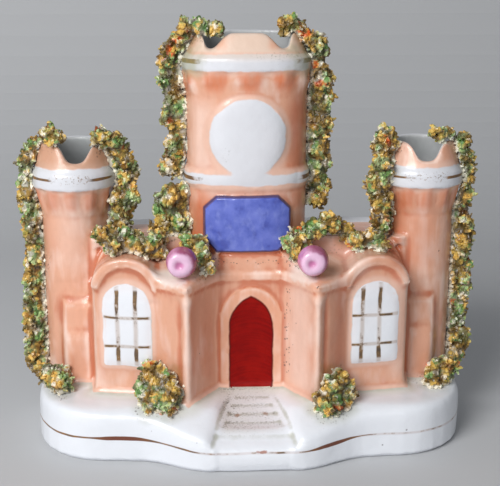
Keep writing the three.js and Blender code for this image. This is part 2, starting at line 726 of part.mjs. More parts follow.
function makeCentreStage() {
  return towerWall(CENTRE_PLAN, [
    [0, CENTRE_COLLAR_TOP], [0, CENTRE_STAGE_TOP], [-WALL, CENTRE_STAGE_TOP], [-WALL, CENTRE_COLLAR_TOP],
  ]);
}

function makeCentreCrown() {
  const corbel = CENTRE_CORBEL_PROUD;
  const band = CENTRE_BAND_PROUD;
  const lean = CENTRE_PARAPET_LEAN;
  let crown = towerWall(CENTRE_PLAN, [
    [0, CENTRE_STAGE_TOP],
    [corbel, CENTRE_STAGE_TOP + CENTRE_CORBEL_HEIGHT / 2, CORBEL_RIPPLE],
    [corbel, CENTRE_CORBEL_TOP - 0.6, CORBEL_RIPPLE],
    [band, CENTRE_CORBEL_TOP],
    [band, CENTRE_BAND_TOP - 0.8],
    [0, CENTRE_BAND_TOP],
    [-lean, CENTRE_TOP],
    [-lean - WALL, CENTRE_TOP],
    [-WALL, CENTRE_CORBEL_TOP],
    [-WALL, CENTRE_STAGE_TOP],
  ]);
  for (const side of [-1, 1]) {
    const notch = dip(
      CENTRE_X + side * CENTRE_NOTCH_X, CENTRE_NOTCH_FOOT, CENTRE_NOTCH_MOUTH,
      CENTRE_TOP - CENTRE_NOTCH_DEPTH, CENTRE_TOP + 0.01, side * CENTRE_NOTCH_SKEW,
    );
    crown = crown.subtract(drawBack(notch, -FAR, CENTRE_Y));
  }
  return crown;
}

function makeSideShaft(side) {
  return towerWall(sidePlan(side), [
    [0, DECK], [0, SIDE_SHAFT_TOP], [-SIDE_WALL, SIDE_SHAFT_TOP], [-SIDE_WALL, DECK],
  ]);
}

function makeSideCrown(side) {
  const collar = SIDE_COLLAR_PROUD;
  const lean = SIDE_PARAPET_LEAN;
  const crown = towerWall(sidePlan(side), [
    [0, SIDE_SHAFT_TOP],
    [collar * 0.4, SIDE_SHAFT_TOP + SIDE_CORBEL_HEIGHT / 2, CORBEL_RIPPLE],
    [collar - 0.7, SIDE_COLLAR_BOTTOM - 0.5, CORBEL_RIPPLE],
    [collar, SIDE_COLLAR_BOTTOM],
    [collar, SIDE_COLLAR_TOP - 0.7],
    [collar - 1, SIDE_COLLAR_TOP],
    [collar - 1 - lean, SIDE_TOP],
    [collar - 1 - lean - SIDE_WALL, SIDE_TOP],
    [collar - 1 - SIDE_WALL, SIDE_COLLAR_TOP],
    [-SIDE_WALL, SIDE_SHAFT_TOP],
  ]);
  const notchX = side * SIDE_X + (side < 0 ? LEFT_NOTCH_SHIFT : 0);
  const notch = dip(
    notchX, SIDE_NOTCH_FOOT, SIDE_NOTCH_MOUTH, SIDE_TOP - SIDE_NOTCH_DEPTH, SIDE_TOP + 0.01, 0,
  );
  return crown.subtract(drawBack(notch, -FAR, SIDE_Y));
}

// The upper part of the buttress runs on as a web to the outer side of the bay.
function makeButtress(side) {
  const foot = SIDE_Y - SIDE_RADIUS;
  const lower = foot - BUTTRESS_LOWER_PROUD;
  const upper = foot - BUTTRESS_UPPER_PROUD;
  const lowerTop = DECK + BUTTRESS_LOWER_HEIGHT;
  const upperTop = DECK + BUTTRESS_UPPER_HEIGHT;
  const top = [[upper, upperTop], [foot, upperTop + UPPER_SET_OFF], [SIDE_Y, upperTop + UPPER_SET_OFF]];
  const profile = outline([
    [SIDE_Y, DECK], [lower, DECK], [lower, lowerTop], [upper, lowerTop + LOWER_SET_OFF], ...top,
  ]);
  const web = outline([[SIDE_Y, DECK], [upper, DECK], ...top]);
  const centre = side * SIDE_X;
  const inner = side * (BAY_OUTER_X + SEAT);
  const whole = drawAcross(profile, centre - BUTTRESS_HALF_WIDTH, centre + BUTTRESS_HALF_WIDTH)
    .add(drawAcross(web, Math.min(inner, centre), Math.max(inner, centre)));
  return largest(whole.subtract(towerRoom(sidePlan(side), SEAT)));
}

// A raised pad that follows the front of the middle tower inside a front outline.
function towerPad(shape, proud) {
  const reach = CENTRE_COLLAR_PROUD + SEAT;
  const skin = towerWall(CENTRE_PLAN, [
    [SEAT, DECK], [SEAT + proud, DECK], [SEAT + proud, CENTRE_TOP], [SEAT, CENTRE_TOP],
  ]);
  const collarRoom = towerWall(CENTRE_PLAN, [
    [-WALL, CENTRE_BASE_TOP - SEAT], [reach, CENTRE_BASE_TOP - SEAT],
    [reach, CENTRE_COLLAR_TOP + SEAT], [-WALL, CENTRE_COLLAR_TOP + SEAT],
  ]);
  return largest(skin.intersect(drawBack(shape, -FAR, CENTRE_Y)).subtract(collarRoom));
}

function makeDisc() {
  const centre = CENTRE_STAGE_TOP - DISC_RADIUS;
  const shape = new THREE.Shape();
  shape.absarc(CENTRE_X, centre, DISC_RADIUS, 0, 2 * Math.PI);
  return towerPad(shape, DISC_PROUD);
}

function makePlaque() {
  const left = CENTRE_X - PLAQUE_HALF_WIDTH;
  const right = CENTRE_X + PLAQUE_HALF_WIDTH;
  const low = PLAQUE_CENTRE_Z - PLAQUE_HALF_HEIGHT;
  const high = PLAQUE_CENTRE_Z + PLAQUE_HALF_HEIGHT;
  const c = PLAQUE_CORNER;
  const shape = outline([
    [left + c, low], [right - c, low], [right, low + c], [right, high - c],
    [right - c, high], [left + c, high], [left, high - c], [left, low + c],
  ]);
  return towerPad(shape, PLAQUE_PROUD);
}

// A rosette is a round knob with a dimple, turned about the axis that faces the viewer.
function makeRosette(side, roof) {
  const r = ROSETTE_RADIUS;
  const t = ROSETTE_THICKNESS;
  const profile = new THREE.Path();
  profile.moveTo(0, 0);
  profile.lineTo(r * 0.75, 0);
  profile.quadraticCurveTo(r, 0, r, t * 0.4);
  profile.quadraticCurveTo(r, t, r * 0.5, t);
  profile.quadraticCurveTo(ROSETTE_DIMPLE_RADIUS, t, 0, t - ROSETTE_DIMPLE_DEPTH);
  const knob = new THREE.LatheGeometry(profile.getPoints(4), 20).rotateX(Math.PI);
  knob.translate(side * PROW_X - ROSETTE_SHIFT, ROSETTE_Y + t / 2, ROSETTE_Z);
  return cutClear(toSolid(knob), [roof]);
}

// A seeded row of numbers between 0 and 1, so that every build gives the same foliage.
function seeded(seed) {
  let state = seed;
  return () => {
    state = (state * 16807) % 2147483647;
    return state / 2147483647;
  };
}

// One crumb of clay: an icosahedron, turned at random, with its corners pushed in and out.
function crumb(centre, radius, random) {
  const geometry = mergeVertices(bareIcosahedron(radius), 1e-4);
  const turn = new THREE.Euler(random() * Math.PI, random() * Math.PI, random() * Math.PI);
  geometry.applyQuaternion(new THREE.Quaternion().setFromEuler(turn));
  const position = geometry.attributes.position;
  for (let i = 0; i < position.count; i += 1) {
    const push = 1 + CRUMB_ROUGHNESS * (2 * random() - 1);
    position.setXYZ(i, position.getX(i) * push, position.getY(i) * push, position.getZ(i) * push);
  }
  return toSolid(geometry.translate(centre.x, centre.y, centre.z));
}

function bareIcosahedron(radius) {
  const geometry = new THREE.IcosahedronGeometry(radius);
  geometry.deleteAttribute('normal');
  geometry.deleteAttribute('uv');
  return geometry;
}

// A strand of crumbs along a line through a few points.
function strand(points, seed, radius = CRUMB) {
  const random = seeded(seed);
  const curve = new THREE.CatmullRomCurve3(points.map(([x, y, z]) => new THREE.Vector3(x, y, z)));
  const count = Math.max(2, Math.round(curve.getLength() / (radius * CRUMB_SPACING)) + 1);
  let body = null;
  for (const centre of curve.getSpacedPoints(count - 1)) {
    const shift = () => CRUMB_JITTER * (2 * random() - 1);
    centre.add(new THREE.Vector3(shift(), shift(), shift()));
    const size = radius * (0.92 + 0.22 * random());
    const piece = crumb(centre, size, random);
    body = body ? body.add(piece) : piece;
  }
  return body;
}

// The lines that the foliage follows. Steps along them are measured in crumbs.
function trail([x, y, z], steps) {
  return steps.map(([across, back, up]) => [x + across * CRUMB, y + back * CRUMB, z + up * CRUMB]);
}

// The same, for a line whose steps across are counted away from the middle of the castle.
function sideTrail(side, [x, y, z], steps) {
  const mirrored = steps.map(([across, back, up]) => [side * across, back, up]);
  return trail([side * x, y, z], mirrored);
}

// Strand down the outer side of a side tower, from its collar to the deck.
function outerStrand(side) {
  const wall = SIDE_X + SIDE_RADIUS;
  return [
    ...sideTrail(side, [wall, SIDE_Y, DECK], [[1.05, -0.55, 0.9], [0.9, -0.55, 6.1]]),
    ...sideTrail(side, [wall, SIDE_Y, SIDE_SHAFT_TOP], [[0.9, -0.55, 0]]),
    ...sideTrail(side, [wall, SIDE_Y, SIDE_TOP], [[0.95, -0.55, -2.4], [0.3, -0.55, -0.4]]),
  ];
}

// Foliage on top of a side tower's parapet, on the side away from the middle tower.
function outerCrest(side) {
  const rim = SIDE_X + SIDE_RADIUS + SIDE_COLLAR_PROUD - SIDE_PARAPET_LEAN;
  return sideTrail(side, [rim, SIDE_Y, SIDE_TOP], [
    [-0.55, -0.55, 0.3], [-1.05, -1.4, 0.55], [-1.9, -1.95, 0.45],
  ]);
}

// Strands over the parapets and down the inner sides of the side towers.
function leftInnerStrand() {
  const edge = -(SIDE_X - SIDE_RADIUS - SIDE_COLLAR_PROUD);
  return [
    ...trail([edge, SIDE_Y, SIDE_TOP], [[-0.7, -1.7, 0.45], [0, -1.4, 0.15], [0.8, -1.1, -1.4]]),
    ...trail([edge, SIDE_Y, SIDE_SHAFT_TOP], [[1.1, -1.1, 2.4], [0.65, -1.1, 0.3]]),
    ...trail([edge, SIDE_Y, WING_TOP], [[0.65, -1.4, 0.7]]),
  ];
}

function rightInnerStrand() {
  const edge = SIDE_X - SIDE_RADIUS - SIDE_COLLAR_PROUD;
  return [
    ...trail([edge, SIDE_Y, SIDE_TOP], [[0.55, -1.95, 0.45], [-0.15, -2.2, -1.1]]),
    ...trail([edge, SIDE_Y, SIDE_SHAFT_TOP], [[-0.35, -2.5, 2.65], [-0.55, -2.2, 1.65]]),
    ...trail([edge, SIDE_Y, WING_TOP], [[-0.15, -1.95, 1.65], [0.1, -2.2, 0.6]]),
  ];
}

// Strand down the side of the middle tower, between two levels.
function centreStrand(side, low, high) {
  const x = CENTRE_X + side * CENTRE_HALF_WIDTH;
  const middle = (low + high) / 2;
  const out = (across, level) => trail([x, CENTRE_Y, level], [[side * across, -0.3, 0]])[0];
  return [
    out(1.4, low), out(1.1, (low + middle) / 2), out(1.2, middle), out(1.3, (middle + 2 * high) / 3),
    out(1, high),
  ];
}

function centreLeftCrest() {
  return trail([CENTRE_X - CENTRE_HALF_WIDTH, CENTRE_Y, CENTRE_TOP], [
    [-0.3, -0.55, -0.55], [0.4, -1.1, 0.55], [1.4, -1.4, 0.65], [2.35, -1.65, 0.15],
  ]);
}

function centreRightCrest() {
  return trail([CENTRE_X + CENTRE_HALF_WIDTH, CENTRE_Y, CENTRE_TOP], [
    [-1.3, -1.1, 0.5], [-0.4, -0.85, 0.1], [0.5, -0.55, -0.95],
  ]);
}

function centreLeftTuft() {
  return trail([CENTRE_X - CENTRE_HALF_WIDTH, CENTRE_Y, WING_TOP], [
    [-1.1, -1.4, 3.5], [-1.8, -1.4, 2.4], [-1.35, -1.4, 1.3], [-0.55, -1.4, 0.65],
  ]);
}

function leftGarland() {
  const start = [-BAY_X, WING_FRONT_Y, WING_TOP];
  const end = [CENTRE_X - CENTRE_HALF_WIDTH, WING_FRONT_Y, WING_TOP];
  return [...trail(start, [[1.3, 0.55, 0.45], [2.6, 0.85, 0.65]]), ...trail(end, [[-0.95, 0.55, 0.45]])];
}

function leftBayTuft() {
  return trail([-BAY_X, 0, BAY_TOP], [
    [-1.5, 0, 1.15], [-0.7, -0.65, 0.55], [0, 0.1, 1.4], [0.6, -0.45, 0.6], [1.45, -0.15, 0.7],
    [2.4, -0.15, 0.75],
  ]);
}

function rightBayTuft() {
  return trail([BAY_X, 0, BAY_TOP], [[-1.2, -0.1, 0.7], [-0.1, 0.05, 0.95], [0.9, -0.5, 0.35]]);
}

function leftRosetteTuft() {
  return trail([-PROW_X, RECESS_Y, CORNICE_TOP], [[0.3, 0.2, 2.85], [1.1, -0.4, 2.2], [1.5, -1, 1]]);
}

function rightShoulderTuft() {
  return trail([PROW_X, RECESS_Y, CORNICE_TOP], [
    [-1.5, -0.3, 2.05], [-0.6, 0.1, 3.2], [0.6, 0.8, 4.05], [1.85, 1.4, 3.45], [2.6, 1.75, 2.85],
  ]);
}

// Tuft on the deck, in front of a side tower and its buttress.
function cornerTuft(side) {
  return sideTrail(side, [SIDE_X, SIDE_Y - SIDE_RADIUS, DECK], [
    [2.65, -1.2, 1.3], [1.65, -1.8, 1.15], [0.95, -2.05, 0.6],
  ]);
}

// Tufts at the feet of the prows. The left one spreads out, the right one stands further in.
const PROW_FOOT = [(PROW_X + GATE_HALF_WIDTH) / 2, (PROW_Y + BAY_JOINT_Y) / 2, DECK];

function leftProwTuft() {
  return sideTrail(SIDES.left, PROW_FOOT, [
    [1.5, -0.1, 2.2], [0.1, -0.6, 2.2], [2.2, -0.15, 1.15], [0.95, -0.6, 1.2], [-0.4, -1.35, 1],
    [1.7, -0.6, 0.3], [0.4, -1.3, 0.2],
  ]);
}

function rightProwTuft() {
  return sideTrail(SIDES.right, PROW_FOOT, [
    [0.7, -0.4, 2], [-0.5, -1, 1.9], [1.1, -0.75, 1], [-0.05, -1.25, 1], [-1.1, -1.75, 0.85],
    [0.5, -1.4, 0.15], [-0.5, -1.8, 0.05],
  ]);
}

// The object.
const castle = new THREE.Group();
const solids = {};

function place(name, solid, finish) {
  const material = new THREE.MeshStandardMaterial({ ...finish, metalness: 0 });
  const mesh = new THREE.Mesh(toGeometry(solid), material);
  mesh.name = name;
  castle.add(mesh);
  solids[name] = solid;
}

place('plinth', makePlinth(), WHITE_GLAZE);
place('front_steps', makeSteps(), WHITE_GLAZE);
place('gatehouse_wall', makeGatehouseWall(), PEACH_GLAZE);
place('gatehouse_cornice', makeCornice(), PEACH_GLAZE);
place('gatehouse_roof', makeGatehouseRoof(), PEACH_GLAZE);
place('door_surround', makeDoorSurround(), PEACH_GLAZE);
place('door', makeDoor(), RED_ENAMEL);
place('back_wall', makeBackWall(), WHITE_GLAZE);
place('centre_tower_base', makeCentreBase(), PEACH_GLAZE);
place('centre_tower_collar', makeCentreCollar(), WHITE_GLAZE);
place('centre_tower_stage', makeCentreStage(), PEACH_GLAZE);
place('centre_tower_crown', makeCentreCrown(), PEACH_GLAZE);
place('round_disc', makeDisc(), WHITE_GLAZE);
place('blue_plaque', makePlaque(), BLUE_ENAMEL);

const SIDES = { left: -1, right: 1 };
for (const [word, side] of Object.entries(SIDES)) {
  place(`${word}_window_bay`, makeBay(side), PEACH_GLAZE);
  place(`${word}_hood_mould`, makeHood(side), PEACH_GLAZE);
  place(`${word}_window`, makeWindow(side), WHITE_GLAZE);
  place(`${word}_wing_wall`, makeWingWall(side), PEACH_GLAZE);
  place(`${word}_wing_roof`, makeWingRoof(side), PEACH_GLAZE);
  place(`${word}_tower_shaft`, makeSideShaft(side), PEACH_GLAZE);
  place(`${word}_tower_crown`, makeSideCrown(side), PEACH_GLAZE);
  place(`${word}_buttress`, makeButtress(side), PEACH_GLAZE);
  place(`${word}_rosette`, makeRosette(side, solids.gatehouse_roof), PINK_ENAMEL);
}

// Each strand is cut to fit round the towers, and round whatever else was placed before it.
const towerRooms = [centreRoom(), sideRoom(SIDES.left), sideRoom(SIDES.right)];

function placeFoliage(name, line, radius = CRUMB) {
  const seed = 11 + 97 * castle.children.length;
  const within = block(-FOLIAGE_REACH, FOLIAGE_REACH, -FAR, FAR, 0, FAR);
  let body = strand(line, seed, radius).intersect(within);
  for (const room of towerRooms) {
    body = body.subtract(room);
  }
  const near = Object.entries(solids)
    .filter(([other]) => !other.includes('_tower_'))
    .map(([, solid]) => solid)
    .filter((solid) => boxesMeet(body.boundingBox(), solid.boundingBox()));
  place(name, cutClear(body, near), MOSS_GLAZE);
}

function boxesMeet(a, b) {
  return [0, 1, 2].every((k) => a.min[k] < b.max[k] + SEAT && b.min[k] < a.max[k] + SEAT);
}

// Levels between which the strands of the middle tower hang.
const STRAND_TOP = CENTRE_BAND_TOP + 0.3 * CRUMB;
const LEFT_STRAND_FOOT = CENTRE_BASE_TOP + CRUMB;
const RIGHT_STRAND_FOOT = WING_TOP + 2.5 * CRUMB;
const RIGHT_STRAND_TOP = STRAND_TOP - 0.5 * CRUMB;
placeFoliage('left_outer_foliage', outerStrand(SIDES.left));
placeFoliage('left_crest_foliage', outerCrest(SIDES.left), CRUMB * 0.85);
placeFoliage('left_inner_foliage', leftInnerStrand());
placeFoliage('left_garland', leftGarland(), CRUMB * 0.85);
placeFoliage('left_bay_foliage', leftBayTuft());
placeFoliage('left_rosette_foliage', leftRosetteTuft(), CRUMB * 0.8);
placeFoliage('centre_left_tuft', centreLeftTuft());
placeFoliage('centre_left_foliage', centreStrand(SIDES.left, LEFT_STRAND_FOOT, STRAND_TOP));
placeFoliage('centre_left_crest', centreLeftCrest());
placeFoliage('centre_right_foliage', centreStrand(SIDES.right, RIGHT_STRAND_FOOT, RIGHT_STRAND_TOP));
placeFoliage('centre_right_crest', centreRightCrest(), CRUMB * 0.9);
placeFoliage('right_shoulder_foliage', rightShoulderTuft());
placeFoliage('right_inner_foliage', rightInnerStrand(), CRUMB * 1.1);
placeFoliage('right_bay_foliage', rightBayTuft(), CRUMB * 0.9);
placeFoliage('right_outer_foliage', outerStrand(SIDES.right));
placeFoliage('right_crest_foliage', outerCrest(SIDES.right), CRUMB * 0.85);
placeFoliage('left_corner_foliage', cornerTuft(SIDES.left), CRUMB * 0.95);
placeFoliage('right_corner_foliage', cornerTuft(SIDES.right), CRUMB * 0.95);
placeFoliage('left_prow_foliage', leftProwTuft());
placeFoliage('right_prow_foliage', rightProwTuft());

export default castle;
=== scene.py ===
# %% [markdown]
# # A pottery castle
# A mantelpiece castle: a hollow shell of white pottery, cast in a mould, dressed with
# crumbs of shredded clay for ivy, glazed, and then painted by hand in peach, blue, red
# and a little gold. The solids that come with it are exact but sharp. This lesson turns
# them into fired clay: edges that the glaze has rounded, colours that a brush has laid
# on, and ivy made of thousands of small curled scraps.

import json
import math

import bmesh
import bpy
import numpy as np
from mathutils import Euler, Matrix, Vector, noise
from mathutils.bvhtree import BVHTree
from mathutils.kdtree import KDTree

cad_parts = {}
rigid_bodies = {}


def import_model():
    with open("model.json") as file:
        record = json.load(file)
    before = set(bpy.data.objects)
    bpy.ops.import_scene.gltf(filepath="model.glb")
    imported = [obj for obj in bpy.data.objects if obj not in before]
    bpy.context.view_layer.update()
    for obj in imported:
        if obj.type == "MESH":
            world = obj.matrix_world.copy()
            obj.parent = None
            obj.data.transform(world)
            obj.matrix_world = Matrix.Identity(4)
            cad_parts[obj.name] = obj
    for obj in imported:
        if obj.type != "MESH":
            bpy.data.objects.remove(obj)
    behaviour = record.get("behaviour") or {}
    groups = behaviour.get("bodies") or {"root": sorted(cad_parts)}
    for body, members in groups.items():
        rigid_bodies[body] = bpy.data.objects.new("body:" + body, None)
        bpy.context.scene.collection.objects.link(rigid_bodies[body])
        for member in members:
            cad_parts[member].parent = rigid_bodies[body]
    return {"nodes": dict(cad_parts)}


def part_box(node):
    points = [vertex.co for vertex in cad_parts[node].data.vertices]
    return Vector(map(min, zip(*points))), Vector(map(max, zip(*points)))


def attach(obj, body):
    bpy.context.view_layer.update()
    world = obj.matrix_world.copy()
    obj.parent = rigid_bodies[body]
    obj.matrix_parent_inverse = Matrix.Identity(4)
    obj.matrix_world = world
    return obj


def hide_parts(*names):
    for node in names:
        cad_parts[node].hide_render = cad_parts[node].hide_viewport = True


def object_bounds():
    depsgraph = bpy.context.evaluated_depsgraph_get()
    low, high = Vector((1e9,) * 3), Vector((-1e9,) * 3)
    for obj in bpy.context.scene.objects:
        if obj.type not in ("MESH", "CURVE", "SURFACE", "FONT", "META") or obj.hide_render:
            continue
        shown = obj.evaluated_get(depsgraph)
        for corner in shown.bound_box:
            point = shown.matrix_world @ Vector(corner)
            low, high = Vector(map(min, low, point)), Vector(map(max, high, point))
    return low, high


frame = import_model()
nodes = frame["nodes"]
cad_low, cad_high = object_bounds()
MM = 0.001
print("solids:", len(nodes), "box in mm:", [round(v / MM, 1) for v in (*cad_low, *cad_high)])

# %% [markdown]
# ## The camera
# A lens is easier to match than to guess: the photograph was measured against the
# solids, which gives a long lens a good foot away, a little above the castle and a
# little to its left. `to_track_quat` turns the camera to look at one point.

# %% Set the camera
LOOK_AT = Vector((0, 3, 58)) * MM
CAMERA_AWAY = 305 * MM
CAMERA_RISE, CAMERA_SIDE = math.radians(15), math.radians(-2.4)
LENS, SENSOR = 75.6, 36


def in_scene(name, data):
    """An object, linked to the scene so that it shows."""
    made = bpy.data.objects.new(name, data)
    bpy.context.scene.collection.objects.link(made)
    return made


camera_data = bpy.data.cameras.new("camera")
camera_data.lens, camera_data.sensor_width = LENS, SENSOR
camera = in_scene("camera", camera_data)
towards_camera = Vector((
    math.sin(CAMERA_SIDE) * math.cos(CAMERA_RISE),
    -math.cos(CAMERA_SIDE) * math.cos(CAMERA_RISE),
    math.sin(CAMERA_RISE),
))
camera.location = LOOK_AT + towards_camera * CAMERA_AWAY
camera.rotation_euler = (-towards_camera).to_track_quat("-Z", "Y").to_euler()
bpy.context.scene.camera = camera
print("camera at", [round(v / MM) for v in camera.location], "mm")

# %% [markdown]
# ## Writing materials as sums
# A material in Blender is a board of nodes. Wiring dozens of them by hand hides the
# idea, so this small class wraps one socket, and `+`, `-` and `*` on it add Math nodes.
# A `Finish` is one material, and its `node` method adds any other node in one line.

# %% The wire and the finish
class Wire:
    """One output of a node, which can be used in sums."""

    def __init__(self, finish, socket):
        self.finish, self.socket = finish, socket

    def maths(self, operation, *values):
        return self.finish.node("Math", {"operation": operation}, dict(enumerate(values)))

    def __add__(self, other):
        return self.maths("ADD", self, other)

    def __sub__(self, other):
        return self.maths("SUBTRACT", self, other)

    def __rsub__(self, other):
        return self.maths("SUBTRACT", other, self)

    def __mul__(self, other):
        return self.maths("MULTIPLY", self, other)

    def __abs__(self):
        return self.maths("ABSOLUTE", self)

    __radd__ = __add__
    __rmul__ = __mul__

    def above(self, level, soft):
        """0 below the level and 1 above it, with a soft step between them."""
        return self.finish.node(
            "MapRange",
            {"interpolation_type": "SMOOTHSTEP"},
            {0: self, 1: level - soft, 2: level + soft, 3: 0.0, 4: 1.0},
        )

    def below(self, level, soft):
        return 1 - self.above(level, soft)

    def over(self, other):
        """The larger of two values."""
        return self.maths("MAXIMUM", self, other)


def from_middle(across, along, across_weight=1.0, along_weight=1.0):
    """The distance from the middle of an oval."""
    squares = across * across * across_weight + along * along * along_weight
    return squares.maths("SQRT", squares)


def paint(red, green, blue):
    """A colour as a painter's chart gives it, 0 to 255, turned into light."""
    parts = [c / 255 for c in (red, green, blue)]
    return [c / 12.92 if c <= 0.04045 else ((c + 0.055) / 1.055) ** 2.4 for c in parts] + [1.0]


class Finish:
    """One material: a board of nodes around one shader."""

    def __init__(self, name, roughness, **fixed):
        self.material = bpy.data.materials.new(name)
        self.material.use_nodes = True
        self.tree = self.material.node_tree
        self.shader = self.tree.nodes["Principled BSDF"]
        for socket, value in {"Roughness": roughness, **fixed}.items():
            self.set(socket.replace("_", " "), value)
        self.place = self.scaled(self.node("TexCoord", {}, {}, out="Object"), 1 / MM)
        self.x, self.y, self.z = self.parts("XYZ", self.place)

    def put(self, socket, value):
        if isinstance(value, Wire):
            self.tree.links.new(value.socket, socket)
        else:
            socket.default_value = value

    def set(self, name, value):
        self.put(self.shader.inputs[name], value)

    def node(self, kind, settings, values, out=0):
        made = self.tree.nodes.new("ShaderNode" + kind)
        for key, value in settings.items():
            setattr(made, key, value)
        for key, value in values.items():
            self.put(made.inputs[key], value)
        return Wire(self, made.outputs[out])

    def scaled(self, vector, amount):
        """A place or a colour, times one value."""
        return self.node("VectorMath", {"operation": "SCALE"}, {0: vector, "Scale": amount})

    def parts(self, kind, vector):
        return [self.node("Separate" + kind, {}, {0: vector}, out=i) for i in range(3)]

    def grid(self, scale, shift):
        return self.node("VectorMath", {"operation": "MULTIPLY_ADD"},
                         {0: self.place, 1: scale, 2: shift})

    def texture(self, kind, grid, out=0, **values):
        return self.node("Tex" + kind, {}, {"Vector": grid, "Scale": 1.0, **values}, out=out)

    def noise(self, size, detail=2.0, stretch=(1, 1, 1), shift=0.0, rough=0.5):
        """Smooth noise about 0, with lumps of so many millimetres."""
        grid = self.grid([1 / (size * s) for s in stretch], (shift, shift * 0.7, -shift))
        return self.texture("Noise", grid, Detail=detail, Roughness=rough) - 0.5

    def specks(self, size, spread, shift=0.0):
        """Dots of about so many millimetres, one in each cell, some of them missing."""
        cells = self.grid((1 / spread,) * 3, (shift,) * 3)
        away = self.texture("Voronoi", cells, out="Distance")
        pick = self.parts("Color", self.texture("Voronoi", cells, out="Color"))[0]
        return (pick * (size / spread) - away).above(0, 0.12 * size / spread)

    def mix(self, mask, under, over):
        """The upper colour laid on the lower one through a mask; a plain colour is 0 to 255."""
        under, over = (c if isinstance(c, Wire) else paint(*c) for c in (under, over))
        return self.node("Mix", {"data_type": "RGBA"}, {0: mask, 6: under, 7: over}, out=2)

    def lay(self, mask, colour, rough=0.0):
        """Lay one more colour on the finish, and change its roughness with it."""
        self.colour = self.mix(mask, self.colour, colour)
        self.rough = self.rough + mask * rough

    def attribute(self, name):
        return self.node("Attribute", {"attribute_name": name}, {}, out="Fac")

    def bump(self, height, depth):
        """Raise the surface by a value times so many millimetres."""
        self.set("Normal", self.node("Bump", {}, {"Strength": 1.0, "Distance": depth * MM,
                                                  "Height": height}))


# %% [markdown]
# ## One skin for the whole pot
# The real castle leaves its mould as one soft shell, and the glaze then fills every
# corner. Rounding each solid on its own would leave dark cracks between them. So copies
# of the solids are swollen a little until they overlap, made into one skin by the Remesh
# modifier, and smoothed. `remove_doubles` comes first, because the solids arrive as
# loose triangles, and a loose triangle can't be swollen. Between a side tower and its
# wing they leave a slot, which rolls of clay fill here, as a potter would.

# %% Gather the structure
IVY_WORDS = ("foliage", "crest", "tuft", "garland")
JOIN_WITHIN = 0.002 * MM
SWELL, MOST_AT_CORNERS = 0.2 * MM, 2.2
# Two rolls of clay in each seam: the middle, radius and length in mm.
SEAM_CLAY = [((45.4, 6.2, 37.7), 1.7, 43.5), ((44.2, 6.5, 58.0), 2.6, 2.6)]

ivy_names = sorted(n for n in nodes if any(word in n for word in IVY_WORDS))
rosette_names = ["left_rosette", "right_rosette"]
pot_names = sorted(set(nodes) - set(ivy_names) - set(rosette_names))


def merged(name):
    """A node's mesh with its corners joined, as a bmesh."""
    bm = bmesh.new()
    bm.from_mesh(nodes[name].data)
    bmesh.ops.remove_doubles(bm, verts=bm.verts, dist=JOIN_WITHIN)
    bmesh.ops.recalc_face_normals(bm, faces=bm.faces)
    bm.normal_update()
    return bm


def as_mesh(bm, name):
    """A bmesh turned into a mesh."""
    mesh = bpy.data.meshes.new(name)
    bm.to_mesh(mesh)
    bm.free()
    return mesh


def add_part(whole, part):
    """Move one bmesh into another, and count its faces."""
    mesh = as_mesh(part, "part")
    whole.from_mesh(mesh)
    count = len(mesh.polygons)
    bpy.data.meshes.remove(mesh)
    return count


def tree_of(names):
    """A search tree over several nodes, and the node that each of its faces is from."""
    whole, owner = bmesh.new(), []
    for index, name in enumerate(names):
        part = merged(name)
        bmesh.ops.triangulate(part, faces=part.faces)
        owner += [index] * add_part(whole, part)
    tree = BVHTree.FromBMesh(whole)
    whole.free()
    return tree, owner


swollen = bmesh.new()
for name in pot_names:
    part = merged(name)
    moves = [v.normal * min(v.calc_shell_factor(), MOST_AT_CORNERS) * SWELL for v in part.verts]
    for vertex, move in zip(part.verts, moves):
        vertex.co += move
    add_part(swollen, part)
for side in (-1, 1):
    for (seam_x, seam_y, seam_z), thick, tall in SEAM_CLAY:
        seam = Matrix.Translation(Vector((side * seam_x, seam_y, seam_z)) * MM)
        bmesh.ops.create_cone(swollen, cap_ends=True, segments=24, radius1=thick * MM,
                              radius2=thick * MM, depth=tall * MM, matrix=seam)
print(len(pot_names), "nodes of pottery,", len(ivy_names), "of ivy,", len(swollen.faces), "faces")

# %% [markdown]
# ## Remesh, smooth, and measure the hollows
# The Remesh modifier lays a grid of small squares over the swollen solids. Smoothing it
# rounds the edges as glaze does. Where the smoothed skin differs from a much smoother
# copy of itself, it is a hollow or a ridge: glaze pools dark in one and runs thin off
# the other, so the two are kept as numbers on the mesh for the paint to read.

# %% Make the skin
GRID = 0.5 * MM
SMOOTHING = 5
NEAR_ROUNDS, WIDE_ROUNDS, WIDEST_ROUNDS = 8, 30, 70


def bare_copy(name, source, modifiers):
    """A mesh with modifiers applied, as a new mesh."""
    helper = in_scene(name, source)
    for kind, settings in modifiers:
        modifier = helper.modifiers.new(kind.lower(), kind)
        for key, value in settings.items():
            setattr(modifier, key, value)
    graph = bpy.context.evaluated_depsgraph_get()
    result = bpy.data.meshes.new_from_object(helper.evaluated_get(graph))
    bpy.data.objects.remove(helper)
    return result


def one_skin(name, source, grid, rounds):
    """One closed skin over all the parts of a mesh."""
    return bare_copy(name, source, [
        ("REMESH", {"mode": "VOXEL", "voxel_size": grid}),
        ("SMOOTH", {"factor": 0.5, "iterations": rounds}),
    ])


def read(items, field, width=3, kind=np.float32):
    """One field of a mesh's items, as rows of so many numbers."""
    flat = np.empty(len(items) * width, kind)
    items.foreach_get(field, flat)
    return flat.reshape(-1, width)


def points(mesh):
    return read(mesh.vertices, "co").astype(float)


def normals(mesh):
    return read(mesh.vertex_normals, "vector").astype(float)


